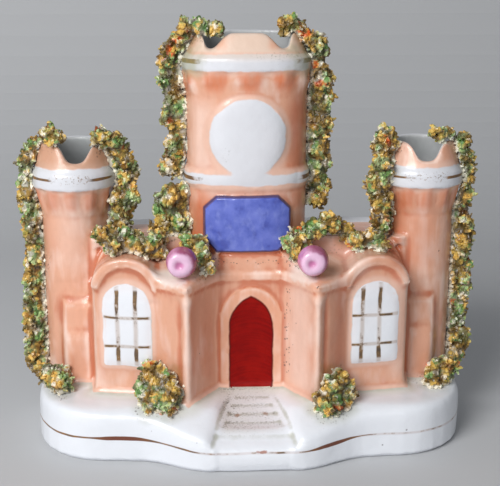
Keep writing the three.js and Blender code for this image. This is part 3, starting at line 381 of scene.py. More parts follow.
def relax(places, edges, rounds):
    """Move every point halfway to the middle of its neighbours, several times over."""
    ends = np.concatenate([edges[:, 0], edges[:, 1]])
    others = np.concatenate([edges[:, 1], edges[:, 0]])
    count = np.bincount(ends, minlength=len(places))[:, None]
    for _ in range(rounds):
        total = np.stack([np.bincount(ends, places[others, k], len(places)) for k in range(3)], 1)
        places = 0.5 * places + 0.5 * total / count
    return places


dense = one_skin("skin", as_mesh(swollen, "swollen"), GRID, SMOOTHING)
edge_ends = read(dense.edges, "vertices", 2, np.int32)
skin_points, skin_normals = points(dense), normals(dense)
near_smooth = relax(skin_points, edge_ends, NEAR_ROUNDS)
wide_smooth = relax(near_smooth, edge_ends, WIDE_ROUNDS)
widest_smooth = relax(wide_smooth, edge_ends, WIDEST_ROUNDS)
hollow = ((near_smooth - skin_points) * skin_normals).sum(1) / MM
pool = ((wide_smooth - skin_points) * skin_normals).sum(1) / MM
print("skin:", len(dense.vertices), "points, hollows up to", hollow.max().round(2), "mm")

# %% [markdown]
# ## Softer where the mould was worn
# The hoods, the steps, the corners and the plinth's top came out of the mould softer
# than the walls. Each box below names such a place. In it the skin moves towards a
# smoother copy of itself, and a fade at its border keeps that from leaving a fold.

# %% Soften the worn places
FADE = 2


def around(value, middle, half, fade=FADE):
    """1 within half of the middle, fading to 0 past it."""
    return np.clip((half + fade - np.abs(value - middle)) / fade, 0, 1)


# The middle and half of each box of soft clay in mm, with x without its sign, and how
# soft: up to 1 blends towards the smoother skin, and from 1 to 2 towards the smoothest.
SOFT_CLAY = {
    "steps": ((0, -15, 9), (10, 8, 6), 0.9),
    "plinth top": ((0, 0, 13), (75, 35, 4.5), 1.5),
    "plinth side": ((0, 0, 6), (75, 35, 3.5), 0.6),
    "hoods": ((36.5, -8, 53), (12, 6, 8), 1.7),
    "lowest step": ((0, -20, 4.5), (10, 8, 3.5), 1.8),
    "shoulders": ((22, -12, 52), (9, 8, 5), 1.5),
    "cornice": ((0, -10, 50.5), (20, 8, 4), 1.5),
    "bay corners": ((46.5, -5, 38), (3, 5, 24), 1.5),
    "surround": ((0, -4, 34), (11, 3, 16), 1.5),
    "piers": ((18.2, -15, 32), (3, 3, 20), 0.9),
    "windows": ((35, -9, 33), (9, 5, 15), 0.9),
    "buttresses": ((50.5, 2, 30), (6, 4, 16), 1.9),
    "disc": ((0, 0, 89), (14, 3, 14), 1.5),
}
CROWN_ROUNDS, CROWN_SOFT = 10, 0.8

x, y, z = (skin_points / MM).T
side = np.abs(x)
broad = np.zeros(len(skin_points))
for middle, half, how_soft in SOFT_CLAY.values():
    in_box = [around(value, *span) for value, *span in zip((side, y, z), middle, half)]
    broad = np.maximum(broad, how_soft * np.prod(in_box, 0))
first, second = np.clip(broad, 0, 1)[:, None], np.clip(broad - 1, 0, 1)[:, None]
side_crowns = around(side, 51, 14, 1) * around(z, 84, 6)
centre_crown = around(x, -0.7, 22, 1) * around(z, 117, 5)
on_crowns = around(y, 12, 16, 1) * np.maximum(side_crowns, centre_crown) * CROWN_SOFT
crown_smooth = relax(near_smooth, edge_ends, CROWN_ROUNDS)
skin_points = skin_points + (wide_smooth - skin_points) * first
skin_points = skin_points + (widest_smooth - skin_points) * second
skin_points = skin_points + (crown_smooth - skin_points) * on_crowns[:, None]
# A softened ridge shows less wear, and a softened hollow holds a little less colour.
hollow = np.where(hollow < 0, hollow * (1 - 0.7 * first[:, 0]), hollow * (1 - 0.25 * second[:, 0]))
print("points softened:", int((broad > 0).sum()))

# %% [markdown]
# ## Hand-made, not turned on a lathe
# A bell curve of a few tenths of a millimetre draws a bead, a groove and a capital at
# each corner of the gatehouse. The skin goes back in by as much as it was swollen. A
# mould pressed by hand is never quite true, so soft noise moves the walls a little,
# never past the box of the solids.

# %% Settle the skin
UNEVEN, UNEVEN_SIZE = 0.16 * MM, 11 * MM
PIER_X, PIER_FRONT = 18.0, -8
BEAD_WIDE, BEAD_PROUD = 1.2, 0.45
GROOVE_OUT, GROOVE_WIDE, GROOVE_DEEP = 2.6, 0.8, 0.35
CAPITAL_Z, CAPITAL_WIDE, CAPITAL_TALL, CAPITAL_PROUD = 46.6, 2.4, 2.0, 0.35


def inside_box(places):
    return np.clip(places, np.array(cad_low), np.array(cad_high))


on_pier = around(z, 32, 14) * (y < PIER_FRONT)
bead = np.exp(-((side - PIER_X) / BEAD_WIDE) ** 2) * on_pier
groove = np.exp(-((side - PIER_X - GROOVE_OUT) / GROOVE_WIDE) ** 2) * on_pier
capital = np.exp(-((side - PIER_X) / CAPITAL_WIDE) ** 2
                 - ((z - CAPITAL_Z) / CAPITAL_TALL) ** 2) * (y < PIER_FRONT)
raised = bead * BEAD_PROUD + capital * CAPITAL_PROUD - groove * GROOVE_DEEP
skin_points = skin_points + skin_normals * (raised * MM)[:, None]
hollow = hollow + groove * 0.12 - bead * 0.05 - capital * 0.05
waves = np.array([noise.noise(Vector(p) / UNEVEN_SIZE) for p in skin_points])
skin_points = skin_points + skin_normals * (waves * UNEVEN - SWELL)[:, None]
dense.vertices.foreach_set("co", inside_box(skin_points).astype(np.float32).ravel())
dense.update()
skin_normals = normals(dense)
print("waves up to", round(waves.max() * UNEVEN / MM, 2), "mm")

# %% [markdown]
# ## Fewer faces, the same shape
# Half a millimetre is finer than a flat wall needs. The Decimate modifier takes faces
# out where the skin is flat and keeps them where it bends. The numbers and the normals
# are then read back from the dense skin, so that a highlight stays smooth.

# %% Thin the skin out and label it
KEEP = 0.42
light = bare_copy("light", dense, [("DECIMATE", {"ratio": KEEP})])
finder = KDTree(len(skin_points))
for index, place in enumerate(inside_box(skin_points)):
    finder.insert(place, index)
finder.balance()
light_points = points(light)
nearest = np.array([finder.find(place)[1] for place in light_points])

pot_tree, pot_owner = tree_of(pot_names)
WHITE_NODES = ["plinth", "front_steps", "back_wall", "centre_tower_collar", "round_disc",
               "left_window", "right_window"]
white_tree, _ = tree_of(WHITE_NODES)
peach_tree, _ = tree_of([n for n in pot_names if n not in WHITE_NODES])
ivy_tree, _ = tree_of(ivy_names)


def distance(tree, places):
    """How far each place is from a tree, in mm."""
    return np.array([tree.find_nearest(place)[3] for place in places]) / MM


white_edge = distance(peach_tree, light_points) - distance(white_tree, light_points)
leaf_gap = distance(ivy_tree, light_points)
print("light skin:", len(light.polygons), "faces")

# %% [markdown]
# ## Where the brush stopped
# White pottery shows at the collars, on the whole back and inside the towers. Each of
# these borders is a distance in millimetres: above 0 it is white, below 0 it is peach.
# The paint reads that number and adds a wobble of its own, so the border stays crisp
# however large the faces are. The door is a rectangle with an arch of two circles, and
# the plaque one with its corners cut off. `keep_numbers` stores such numbers on a mesh.

# %% Measure the borders of the paint
BACK_FROM = 18.5
SIDE_TOWER_X, SIDE_TOWER_Y = 51.2, 14.0
CENTRE_X, CENTRE_Y, CENTRE_HALF, CENTRE_HALF_DEPTH = -0.7, 12.0, 17.4, 12.0
# How near a tower's axis, and from which height, the skin belongs to that tower.
SIDE_NEAR, SIDE_FROM, CENTRE_NEAR, CENTRE_FROM, CENTRE_OPEN_FROM = 13.5, 56, 22, 62, 70
SIDE_COLLAR, CENTRE_BAND, CENTRE_COLLAR = (73.9, 79.9), (107.7, 112.3), (75.6, 78.6)
DISC_MIDDLE, DISC_RADIUS, DISC_STAGE, DISC_SIDE = (-0.7, 89.3), 10.8, (72, 102), 10
SQUARE = 2.5
DOOR_HALF, DOOR_FOOT, ARCH_SPRING, ARCH_RADIUS, ARCH_MIDDLE = 6.3, 15.4, 34.7, 10.2, 3.9
PLAQUE_MIDDLE, PLAQUE_HALF, PLAQUE_CUT = (-0.9, 64.5), (12.4, 8.1), 3.6

x, y, z = (light_points / MM).T
side = np.abs(x)
to_side = np.hypot(side - SIDE_TOWER_X, y - SIDE_TOWER_Y)
to_centre = (np.abs((x - CENTRE_X) / CENTRE_HALF) ** SQUARE
             + np.abs((y - CENTRE_Y) / CENTRE_HALF_DEPTH) ** SQUARE) ** (1 / SQUARE) * CENTRE_HALF
on_side = (to_side < SIDE_NEAR) & (z > SIDE_FROM)
on_centre = (to_centre < CENTRE_NEAR) & (z > CENTRE_FROM)


def between(low, high):
    """Above 0 between two heights, and below 0 outside them."""
    return np.minimum(z - low, high - z)


on_disc = DISC_RADIUS - np.hypot(x - DISC_MIDDLE[0], z - DISC_MIDDLE[1])
run_together = np.logaddexp(between(*CENTRE_COLLAR), on_disc)
low_collar = np.where(y < DISC_SIDE, run_together, between(*CENTRE_COLLAR))
white_edge = np.where(on_centre & (between(*DISC_STAGE) > 0), low_collar, white_edge)
for zone, band in ((on_side, SIDE_COLLAR), (on_centre, CENTRE_BAND)):
    white_edge = np.where(zone, np.maximum(white_edge, between(*band)), white_edge)
light_normals = skin_normals[nearest]


def facing_in(middle_x, middle_y, half_x, half_y):
    """1 where the skin faces the tower's own axis, -1 where it faces away from it."""
    out_x, out_y = (x - middle_x) / half_x ** 2, (y - middle_y) / half_y ** 2
    along = light_normals[:, 0] * out_x + light_normals[:, 1] * out_y
    return -along / np.hypot(out_x, out_y)


side_in = facing_in(np.sign(x) * SIDE_TOWER_X, SIDE_TOWER_Y, 1, 1)
centre_in = facing_in(CENTRE_X, CENTRE_Y, CENTRE_HALF, CENTRE_HALF_DEPTH)
inside = np.where(on_side, side_in, np.where(on_centre & (z > CENTRE_OPEN_FROM), centre_in, -1.0))
white_edge = np.maximum(white_edge, inside * 2 - 0.3)
white_edge = np.maximum(white_edge, (y - BACK_FROM) * 0.8)


def keep_numbers(mesh, **values):
    for name, numbers in values.items():
        kind, field = ("FLOAT_VECTOR", "vector") if numbers.ndim == 2 else ("FLOAT", "value")
        layer = mesh.attributes.new(name, kind, "POINT")
        layer.data.foreach_set(field, numbers.astype(np.float32).ravel())


in_arch = ARCH_RADIUS - np.hypot(side + ARCH_MIDDLE, z - ARCH_SPRING)
door_edge = np.minimum(np.where(z > ARCH_SPRING, in_arch, DOOR_HALF - side), z - DOOR_FOOT)
past_x = np.abs(x - PLAQUE_MIDDLE[0]) - PLAQUE_HALF[0]
past_z = np.abs(z - PLAQUE_MIDDLE[1]) - PLAQUE_HALF[1]
plaque_edge = -np.maximum(np.maximum(past_x, past_z), (past_x + past_z + PLAQUE_CUT) * 0.72)
keep_numbers(light, door_edge=door_edge, plaque_edge=plaque_edge, white_edge=white_edge,
             inside=inside, leaf_gap=leaf_gap, hollow=hollow[nearest], pool=pool[nearest],
             true_normal=light_normals)
print("white share:", round(float((white_edge > 0).mean()), 2))

# %% [markdown]
# ## The peach and the white
# Real underglaze peach is thin: it gathers orange in the hollows, wears to a pinkish
# white on the ridges and runs down the wall in faint streaks. Patches of painted shade
# and painted highlight lie over it, with a painted shadow beside the ivy, and the
# painter went over the little arches under the collars. The white below it is cool and
# holds grey-green stains; inside the towers it carries painted shade.

# %% Mix the washes
# The deep peach is glaze pooled in hollows and also painted shade; the pale peach is thin glaze on
# ridges and also painted highlight.
PEACH, PEACH_POOLED_AND_SHADED = (222, 162, 132), (190, 98, 58)
PEACH_THIN_AND_LIT, CORBEL = (240, 212, 198), (210, 116, 72)
WHITE, WHITE_STAIN = (231, 234, 240), (170, 170, 152)
BIG_CORBELS_Z, SMALL_CORBELS_Z = 104.6, 70.6
# Patches of painted shade (above 0) and painted highlight (below 0) on the peach:
# middle and half in x and z, in mm, and how strong.
SHADE_AND_HIGHLIGHT_PATCHES = [((13.4, 33), (3.0, 16), -0.7), ((-13.5, 88), (3.0, 11), -0.7), ((13.6, 88), (2.6, 12), 0.8),
          ((24.8, 34), (2.0, 16), 0.7), ((42.3, 34), (2.0, 14), -0.6), ((42.5, 62), (2.5, 9), 0.8),
          ((-14.5, 63), (2.5, 7), 0.8), ((-1, 73.5), (12, 1.6), -0.6), ((27, 55), (6, 3), -0.6),
          ((-52, 62), (4, 12), -0.3), ((50, 60), (4, 10), 0.3)]


def corbels(f):
    """1 in the little arches under the collars, which are painted deeper, and 0 elsewhere."""
    sway = f.noise(3.0, 2, shift=15) * 1.6
    big = abs(f.x.maths("WRAP", f.x - 0.1, 4.9, -4.9)) + sway - (f.z - 104) * 0.2
    big = big.below(2.9, 1.2) * abs(f.z - BIG_CORBELS_Z + sway).below(2.6, 2.2)
    small = abs(f.x.maths("WRAP", abs(f.x) - SIDE_TOWER_X, 2.7, -2.7)) + sway * 0.5
    small = small.below(1.7, 0.8) * abs(f.z - SMALL_CORBELS_Z + sway).below(2.8, 1.4)
    return big.over(small * 0.8) * f.y.below(11, 2)


def peach_wash(f, pooled, edge, leaf, cloud, fine):
    """The peach: deep in hollows, pale on ridges, with painted shade and highlight in patches, a painted
    shadow beside the ivy, and a stain right next to it.
    """
    near_white = edge.above(-1.7, 1.1)
    streak = f.noise(2.4, 3, stretch=(1, 1, 5), shift=3)
    deep = (f.dip * 5.0 + pooled * 0.9 + cloud * 1.3 + streak * 1.3).above(0.36, 0.45)
    peach = f.mix(deep * (1 - near_white), PEACH, PEACH_POOLED_AND_SHADED)
    thin = f.noise(7, 2, stretch=(1, 1, 1.8), shift=18)
    pale = (f.dip * -4.0 - pooled * 0.3 + thin * 1.7 + streak * 0.9).above(0.24, 0.42)
    peach = f.mix(pale.over(near_white * 0.6) * 0.8, peach, PEACH_THIN_AND_LIT)
    peach = f.mix(corbels(f) * (streak * 1.5 + 0.9) * 0.85, peach, CORBEL)
    # Lay the patches: painted shade where the value is above 0, painted highlight below it.
    for (wash_x, wash_z), (wide, tall), depth in SHADE_AND_HIGHLIGHT_PATCHES:
        across = abs(f.x - wash_x + streak * 3).below(wide, 2.5) * f.y.below(11, 3)
        zone = across * abs(f.z - wash_z + cloud * 4).below(tall, 4) * (1 - near_white)
        peach = f.mix(zone * abs(depth), peach, PEACH_THIN_AND_LIT if depth < 0 else PEACH_POOLED_AND_SHADED)
    # Painted shadow of the ivy on the wall beside it.
    peach = f.mix(leaf.below(2.5, 3.5) * (cloud + 0.6) * 0.45, peach, (160, 92, 58))
    peach = f.mix(leaf.below(1.2, 1.2) * 0.5, peach, (150, 112, 60))
    return f.scaled(peach, 1 + streak * 0.16 + fine * 0.08)


def bare_white(f, pooled, edge, leaf, cloud):
    """The white: stained in hollows and by ivy, dirty at the walls' foot, painted shade inside the
    towers, and greyer high up on the towers.
    """
    stain = (f.dip * 4.0 + pooled * 0.5 + f.noise(5, 3, shift=21) * 0.8).above(0.5, 0.4)
    white = f.mix(stain.over(leaf.below(1.8, 1.8) * 0.7) * 0.7, WHITE, WHITE_STAIN)
    # Painted shade inside the hollow towers.
    white = f.mix(f.attribute("inside").above(0.4, 0.4) * 0.6, white, (128, 140, 128))
    foot = edge.below(3.2, 2.2) * f.z.below(17, 0.5) * (cloud + 1.0)
    white = f.mix(foot * 0.5, white, (196, 192, 172))
    # Greyer white above 73 mm, on the collars, the band and the disc: partly painted shade, partly a
    # grey stain.
    white = f.mix(f.z.above(73, 1) * (cloud + 0.8) * 0.5, white, (196, 192, 196))
    rim = f.z.above(111.0, 1.2) * f.z.below(114, 2) * f.y.below(10, 2)
    return f.mix(rim * 0.8, f.scaled(white, 1 + cloud * 0.06), (222, 206, 194))


print("washes:", len(SHADE_AND_HIGHLIGHT_PATCHES))

# %% [markdown]
# ## The glaze over both
# Peach and white are in one builder, so that two pieces that meet agree about their
# border. A brush lays more colours on, and last come specks where dust stuck.

# %% Build the glaze
def glaze(name, brush, **fixed):
    """The painted glaze. A brush is a function that lays more colours over it."""
    f = Finish(name, 0.32, **{"Coat_Weight": 0.35, "Coat_Roughness": 0.13, **fixed})
    f.dip, pooled, edge = f.attribute("hollow"), f.attribute("pool"), f.attribute("white_edge")
    leaf, cloud, fine = f.attribute("leaf_gap"), f.noise(9, 2, shift=11), f.noise(1.3, 3, shift=5)
    bare = (edge + f.noise(4.5, 3, shift=31) * 1.5).above(0, 0.3)
    f.colour = f.mix(bare, peach_wash(f, pooled, edge, leaf, cloud, fine),
                     bare_white(f, pooled, edge, leaf, cloud))
    f.rough, f.grit, f.peach = 0.34 + fine * 0.1, f.dip * 0.6, 1 - bare
    lay_gilding(f)
    brush(f)
    patches = f.noise(9, 3, shift=41) + leaf.below(3, 3) * 0.25 + f.grit
    dust = f.specks(0.34, 0.75, 4) * patches.above(0.3, 0.1)
    dust = dust.over(f.specks(0.3, 6.3, 8))
    f.set("Base Color", f.mix(dust * 0.6, f.colour, (74, 62, 54)))
    f.set("Roughness", f.rough + dust * 0.3)
    f.bump(f.noise(5, 2, shift=51) + fine * 0.16 + dust * 0.2, 0.22)
    return f.material

# %% [markdown]
# ## Gilding
# The gold was brushed on last and has worn ever since: thick at the ends of a stroke,
# where the brush was pressed down, and broken or gone in the middle. A line is the
# distance from its height, made narrower and wider by one noise and broken by another.

# %% Gild the lines
GOLD, GOLD_WORN = (140, 96, 44), (104, 84, 66)
PLINTH_LINE, SIDE_LINE, COLLAR_LINE, BAND_LINE = 7.4, 76.9, 77.2, 110.3


def stroke(distance, half, wear):
    """A painted line of a few tenths of a millimetre, worn through where wear is low."""
    return (half - abs(distance)).above(0, 0.1) * wear.above(0, 0.12)


def lay_gilding(f):
    """The plinth's line, one round each side tower, and two round the middle tower."""
    wander = f.noise(14, 2, shift=61) * 0.9
    worn = f.noise(5, 4, shift=71, rough=0.65)
    press = 0.36 + f.noise(8, 2, shift=66) * 0.6
    far, front = abs(f.x), f.y.below(9, 1)
    tone = f.mix(f.noise(1.6, 3, shift=81).above(0, 0.2), GOLD, GOLD_WORN)

    low = f.z - PLINTH_LINE + far.below(22, 16) * 1.5 + wander
    pressed = abs(f.x + 37).below(7, 5).over(abs(f.x - 22).below(5, 4))
    thin = f.x.above(-16, 6) * f.x.below(14, 4) + f.x.above(30, 6)
    plinth = stroke(low, press * 0.7 + pressed * 0.4 - 0.04, worn + 0.3 - thin * 0.34) * front
    f.lay((0.34 - abs(low)).above(0, 0.2) * front * 0.35, (186, 160, 152))
    f.lay(plinth, f.mix(pressed, tone, (112, 58, 36)), 0.2)

    off_axis = abs(far - SIDE_TOWER_X)
    towers = stroke(f.z - SIDE_LINE + wander * 0.4, press, worn + (off_axis * 0.1 - 0.62) + 0.12)
    grain = f.noise(0.7, 3, shift=68, rough=0.7).above(0.1, 0.05)
    specks = grain * abs(f.z - SIDE_LINE - 0.3).below(1.2, 0.8) * 0.75 * off_axis.below(6, 2)
    towers = towers.over(specks) * far.above(38, 1) * front
    grit = grain * abs(f.z - 112).below(1.0, 1.2) * f.x.above(2, 6) * far.below(24, 1) * front
    f.lay(grit * 0.45, (110, 108, 92), 0.1)

    press, worn, collars = press + far.above(11, 5) * 0.25, worn + (far * 0.07 - 1.0), 0.0
    for line in (COLLAR_LINE, BAND_LINE):
        collars = stroke(f.z - line + wander * 0.3, press, worn).over(collars)
    f.lay(towers.over(collars * far.below(24, 1) * f.y.below(12, 1)), tone, 0.2)


# %% [markdown]
# ## Window bars, the door and the plaque
# Each painted piece has a brush of its own. Window bars are a few strokes across the
# white; the door is red, with fine strokes across it that bow up a little; and the
# plaque is a mottled blue with a dark line round it, on the front only.

# %% Dip the brushes
WINDOW_BARS_AT = {"left": (-38.2, -33.0), "right": (31.6, 36.7)}
WINDOW_RUNGS_AT = (39.4, 30.8)
WINDOW_MIDDLE_Z, BARS_MIDDLE_Z, BARS_HALF, RUNGS_HALF = 36.5, 36.9, 10.6, 6.4


def window_brush(where):
    bars_at = WINDOW_BARS_AT[where]
    middle = sum(bars_at) / 2

    def brush(f):
        worn = f.noise(2.2, 3, shift=12, rough=0.6)
        press = 0.42 + f.noise(3, 2, shift=17) * 0.6
        sway = f.noise(9, 1, shift=24) * 0.8
        away_z, away_x = abs(f.z - WINDOW_MIDDLE_Z), abs(f.x - middle)
        bars, rungs, faint = 0.0, 0.0, 0.0
        for bar in bars_at:
            along = f.x - bar + sway
            swell = away_z.above(6, 3) * 0.12
            bars = stroke(along, press + swell, worn + away_z * 0.05 - 0.22).over(bars)
            faint = (0.6 - abs(along)).above(0, 0.4).over(faint)
        for rung in WINDOW_RUNGS_AT:
            along = f.z - rung + sway
            rungs = stroke(along, press * 0.8, worn + away_x * 0.08 - 0.16).over(rungs)
            faint = (0.5 - abs(along)).above(0, 0.3).over(faint)
        bars = bars * abs(f.z - BARS_MIDDLE_Z).below(BARS_HALF, 0.4)
        bars = bars.over(rungs * away_x.below(RUNGS_HALF, 0.3))
        edge = f.attribute("white_edge")
        pane = edge.above(0.25, 0.2)
        f.lay(edge.below(0.4, 0.7) * pane * 0.35, (232, 204, 196))
        f.lay(faint * pane * 0.5, (176, 150, 128))
        brown = f.mix(worn.above(0, 0.2), (140, 106, 62), (88, 70, 54))
        f.lay(bars * pane, brown, 0.2)
    return brush


def door_brush(f):
    bow = f.z + f.x * f.x * 0.05
    lines = f.node("CombineXYZ", {}, {0: bow * 1.3, 1: f.x * 0.12, 2: 0.0})
    strokes = f.texture("Noise", lines, Detail=3.0) - 0.5
    red = f.mix(strokes.above(-0.02, 0.25), (120, 4, 3), (140, 8, 4))
    red = f.mix(f.noise(5, 2, shift=33).above(0.1, 0.2) * 0.4, red, (166, 20, 6))
    edge = f.attribute("door_edge") + f.noise(2.5, 2, shift=37) * 0.5
    f.lay(edge.above(0, 0.15), red, 0.03)
    # A dark line along the door's edge: painted shade in the gap round the door.
    f.lay((0.28 - abs(edge - 0.1)).above(0, 0.2) * 0.7, (84, 14, 10))


def plaque_brush(f):
    behind = f.y.above(6, 1) * 50
    edge = f.attribute("plaque_edge") + f.noise(3.0, 2, shift=43) * 0.4 - behind
    cloud, streaks = f.noise(3.4, 3, shift=47), f.noise(2.2, 3, shift=52, stretch=(1, 1, 1.5))
    blue = f.mix((cloud + 0.5).above(0.5, 0.22), (78, 94, 184), (104, 118, 204))
    blue = f.mix(streaks.above(0.12, 0.16) * 0.45, blue, (140, 152, 218))
    blue = f.mix(cloud.below(-0.14, 0.08) * 0.5, blue, (60, 66, 150))
    f.lay(edge.above(0, 0.15), blue)
    f.lay((0.34 - abs(edge - 0.1)).above(0, 0.2) * 0.85, (70, 52, 84))


window_glazes = {where + "_window": glaze(where + "_window_glaze", window_brush(where))
                 for where in WINDOW_BARS_AT}
red_enamel = glaze("red_enamel", door_brush, Coat_Weight=0.05, Specular_IOR_Level=0.12)
blue_enamel = glaze("blue_enamel", plaque_brush)
print("the red enamel:", len(red_enamel.node_tree.nodes), "nodes")

# %% [markdown]
# ## Grit, stains and rubbed colour
# The steps hold grit that the glaze picked up, and two brown stains. Round the rosettes
# the roof turns pink and whitish, and the left parapet is tan. The big parapet is creamy
# in front, and the ivy has stained its corners green.

# %% Dip the other brushes
STAINS_AT, SMEAR_AT = ((-4.5, -15.3), (3.4, -14.9)), (2.2, 6.2)
ROSETTES_AT, BLUSH_Z, CHALK_Z = ((-21.5, 0.9), (14.8, 0.7)), 58.5, 53.5


def step_brush(f):
    depth = f.y.above(-22.5, 1.5) * f.y.below(-5.0, 1.0)
    zone = abs(f.x).below(9.0, 1.8) * depth * f.z.above(7.5, 1.5)
    left = zone * (0.6 - f.x * 0.05)
    grain = (f.noise(0.5, 3, shift=57, rough=0.7) + f.dip * 1.2).above(0.1, 0.06)
    f.lay(left * 0.5, (188, 180, 168), 0.1)
    f.lay(left * grain * 0.6, (112, 106, 96), 0.2)
    blur = f.noise(1.2, 3, shift=64) * 1.6
    for stain_x, stain_y in STAINS_AT:
        stain = (from_middle(f.x - stain_x, f.y - stain_y, 0.4) + blur).below(0.5, 0.3)
        f.lay(stain * zone * 0.7, (140, 96, 62), 0.2)
    smear = from_middle(f.x - SMEAR_AT[0], f.z - SMEAR_AT[1], 0.25, 2.5) + blur
    f.lay(smear.below(0.7, 0.25) * f.y.below(-25, 1) * 0.8, (156, 84, 52), 0.2)
    f.grit = f.grit + zone * 0.2


def roof_brush(f):
    """For all that is peach, so it also lays the grit at the walls' feet."""
    foot = abs(f.z - 54 + f.noise(4, 2, shift=96)).below(1.0, 0.6) * abs(f.x).below(17, 2)
    jamb = abs(f.x - 10.4).below(0.8, 0.5) * abs(f.z - 34).below(13, 2)
    tan = f.x.below(-38, 1) * f.z.above(79.5, 1.0) * (f.noise(5, 2, shift=94) + 0.9)
    f.lay(tan * f.peach * 0.7, (196, 152, 124), 0.15)
    bay_foot = abs(f.z - 13.6 + f.noise(3, 2, shift=98)).below(0.5, 0.5) * f.x.above(17, 1)
    f.grit = f.grit + foot.over(jamb).over(bay_foot) * f.y.below(-1, 1) * 0.6
    front = f.y.below(-6, 2)
    for middle, strength in ROSETTES_AT:
        pink = from_middle(f.x - middle, f.z - BLUSH_Z) + f.noise(3, 2, shift=73) * 3
        f.lay(pink.below(4.6, 1.2) * front * strength * 0.8, (206, 134, 166))
        chalk = from_middle(f.x - middle + 1.5, f.z - CHALK_Z, 1.0, 2.0)
        chalk = (chalk + f.noise(2.4, 3, shift=77) * 4).below(5.0, 1.0)
        f.lay(chalk * front * strength * 0.9, (234, 224, 216))


def parapet_brush(f):
    off_axis, forward = abs(f.x - CENTRE_X), f.y.below(6, 2)
    front = forward * f.z.above(112.5, 1.0) * (f.attribute("white_edge") + 0.4).below(0, 0.5)
    cream = (f.noise(6, 2, shift=84) + 0.9).above(0.5, 0.4)
    f.lay(front * cream * 0.8, (226, 204, 186))
    slopes = abs(off_axis - 7.4).below(1.4, 1.2) * forward * f.z.above(113.6, 1.0)
    f.lay(slopes * (f.noise(3, 2, shift=87) + 0.9) * 0.6, (222, 150, 112))
    green = (f.noise(4, 3, shift=91) + off_axis * 0.08 - 1.0).above(0.1, 0.3)
    f.lay(green * f.z.above(106, 2) * f.y.below(10, 2) * 0.55, (150, 150, 104))


peach_glaze = glaze("peach_glaze", roof_brush)
crown_glaze = glaze("crown_glaze", parapet_brush)
white_glaze = glaze("white_glaze", step_brush)
print("the peach glaze:", len(peach_glaze.node_tree.nodes), "nodes")

# %% [markdown]
# ## Cut the skin into its pieces
# Each piece of the castle is its own object, so the skin is parted where the solids
# meet. Every face asks which solid it lies nearest to, and takes that solid's number as
# its material slot. Separating a mesh by material is one operator.

# %% Separate the pieces
CUT = "cut_"

centres = read(light.polygons, "center").astype(float)
owner = np.array([pot_owner[pot_tree.find_nearest(c)[2]] for c in centres])
light.materials.clear()
for name in pot_names:
    light.materials.append(bpy.data.materials.new(CUT + name))
light.polygons.foreach_set("material_index", owner.astype(np.int32))
light.polygons.foreach_set("use_smooth", np.ones(len(owner), bool))
skin = in_scene("skin", light)
bpy.context.view_layer.objects.active = skin
skin.select_set(True)
before = set(bpy.data.objects) - {skin}
bpy.ops.object.mode_set(mode="EDIT")
bpy.ops.mesh.select_all(action="SELECT")
bpy.ops.mesh.separate(type="MATERIAL")
bpy.ops.object.mode_set(mode="OBJECT")
cuts = [o for o in bpy.data.objects if o not in before and o.type == "MESH"]
print("pieces cut:", len(cuts))

# %% [markdown]
# ## Give each piece its wall and its finish
# A cut piece is an open sheet, and fired pottery has a thickness, so the Solidify
# modifier puts a wall behind it. Its rim alone would be shaded differently, and every
# cut would show, so the normals stored before the cut are put back on the front.

# %% Close and finish the pieces
WALL = 0.8 * MM
SLOT_OF = {**dict.fromkeys(WHITE_NODES, "white_glaze"),
           "door": "red_enamel", "blue_plaque": "blue_enamel"}
FINISH_OF = {**dict.fromkeys(WHITE_NODES, white_glaze), **window_glazes,
             "centre_tower_crown": crown_glaze, "door": red_enamel, "door_surround": red_enamel,
             "blue_plaque": blue_enamel, "centre_tower_base": blue_enamel}


def close_wall(mesh):
    """Give an open skin a wall behind it, and keep the outer normals of the whole skin."""
    walled = bare_copy("wall", mesh, [("SOLIDIFY", {"thickness": WALL, "offset": -1.0})])
    kept = read(walled.attributes["true_normal"].data, "vector")
    kept[(kept * normals(walled)).sum(1) < 0.2] = 0
    walled.normals_split_custom_set_from_vertices(kept)
    return walled


shown = {}
for cut in cuts:
    slots = read(cut.data.polygons, "material_index", 1, np.int32).ravel()
    name = cut.material_slots[int(np.bincount(slots).argmax())].material.name.removeprefix(CUT)
    cut.data = close_wall(cut.data)
    cut.name = cut.data.name = name + "_skin"
    cut.data.materials.clear()
    cut.data.materials.append(FINISH_OF.get(name, peach_glaze))
    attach(cut, "root")
    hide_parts(name)
    shown[name] = cut
for name in pot_names:
    if name not in shown:
        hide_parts(name)
        print("no outer face of its own:", name)
print("largest piece:", max(len(o.data.polygons) for o in cuts), "faces")

# %% [markdown]
# ## Ivy from shredded clay
# Clay pushed through a sieve falls in short curled scraps, and handfuls of them were
# stuck on as ivy. A few scraps are shaped here with extrusions that turn and taper, and
# each is set thousands of times over the lumps of ivy, half sunk in a smaller core.
# Each has few faces, because there are thousands of it.

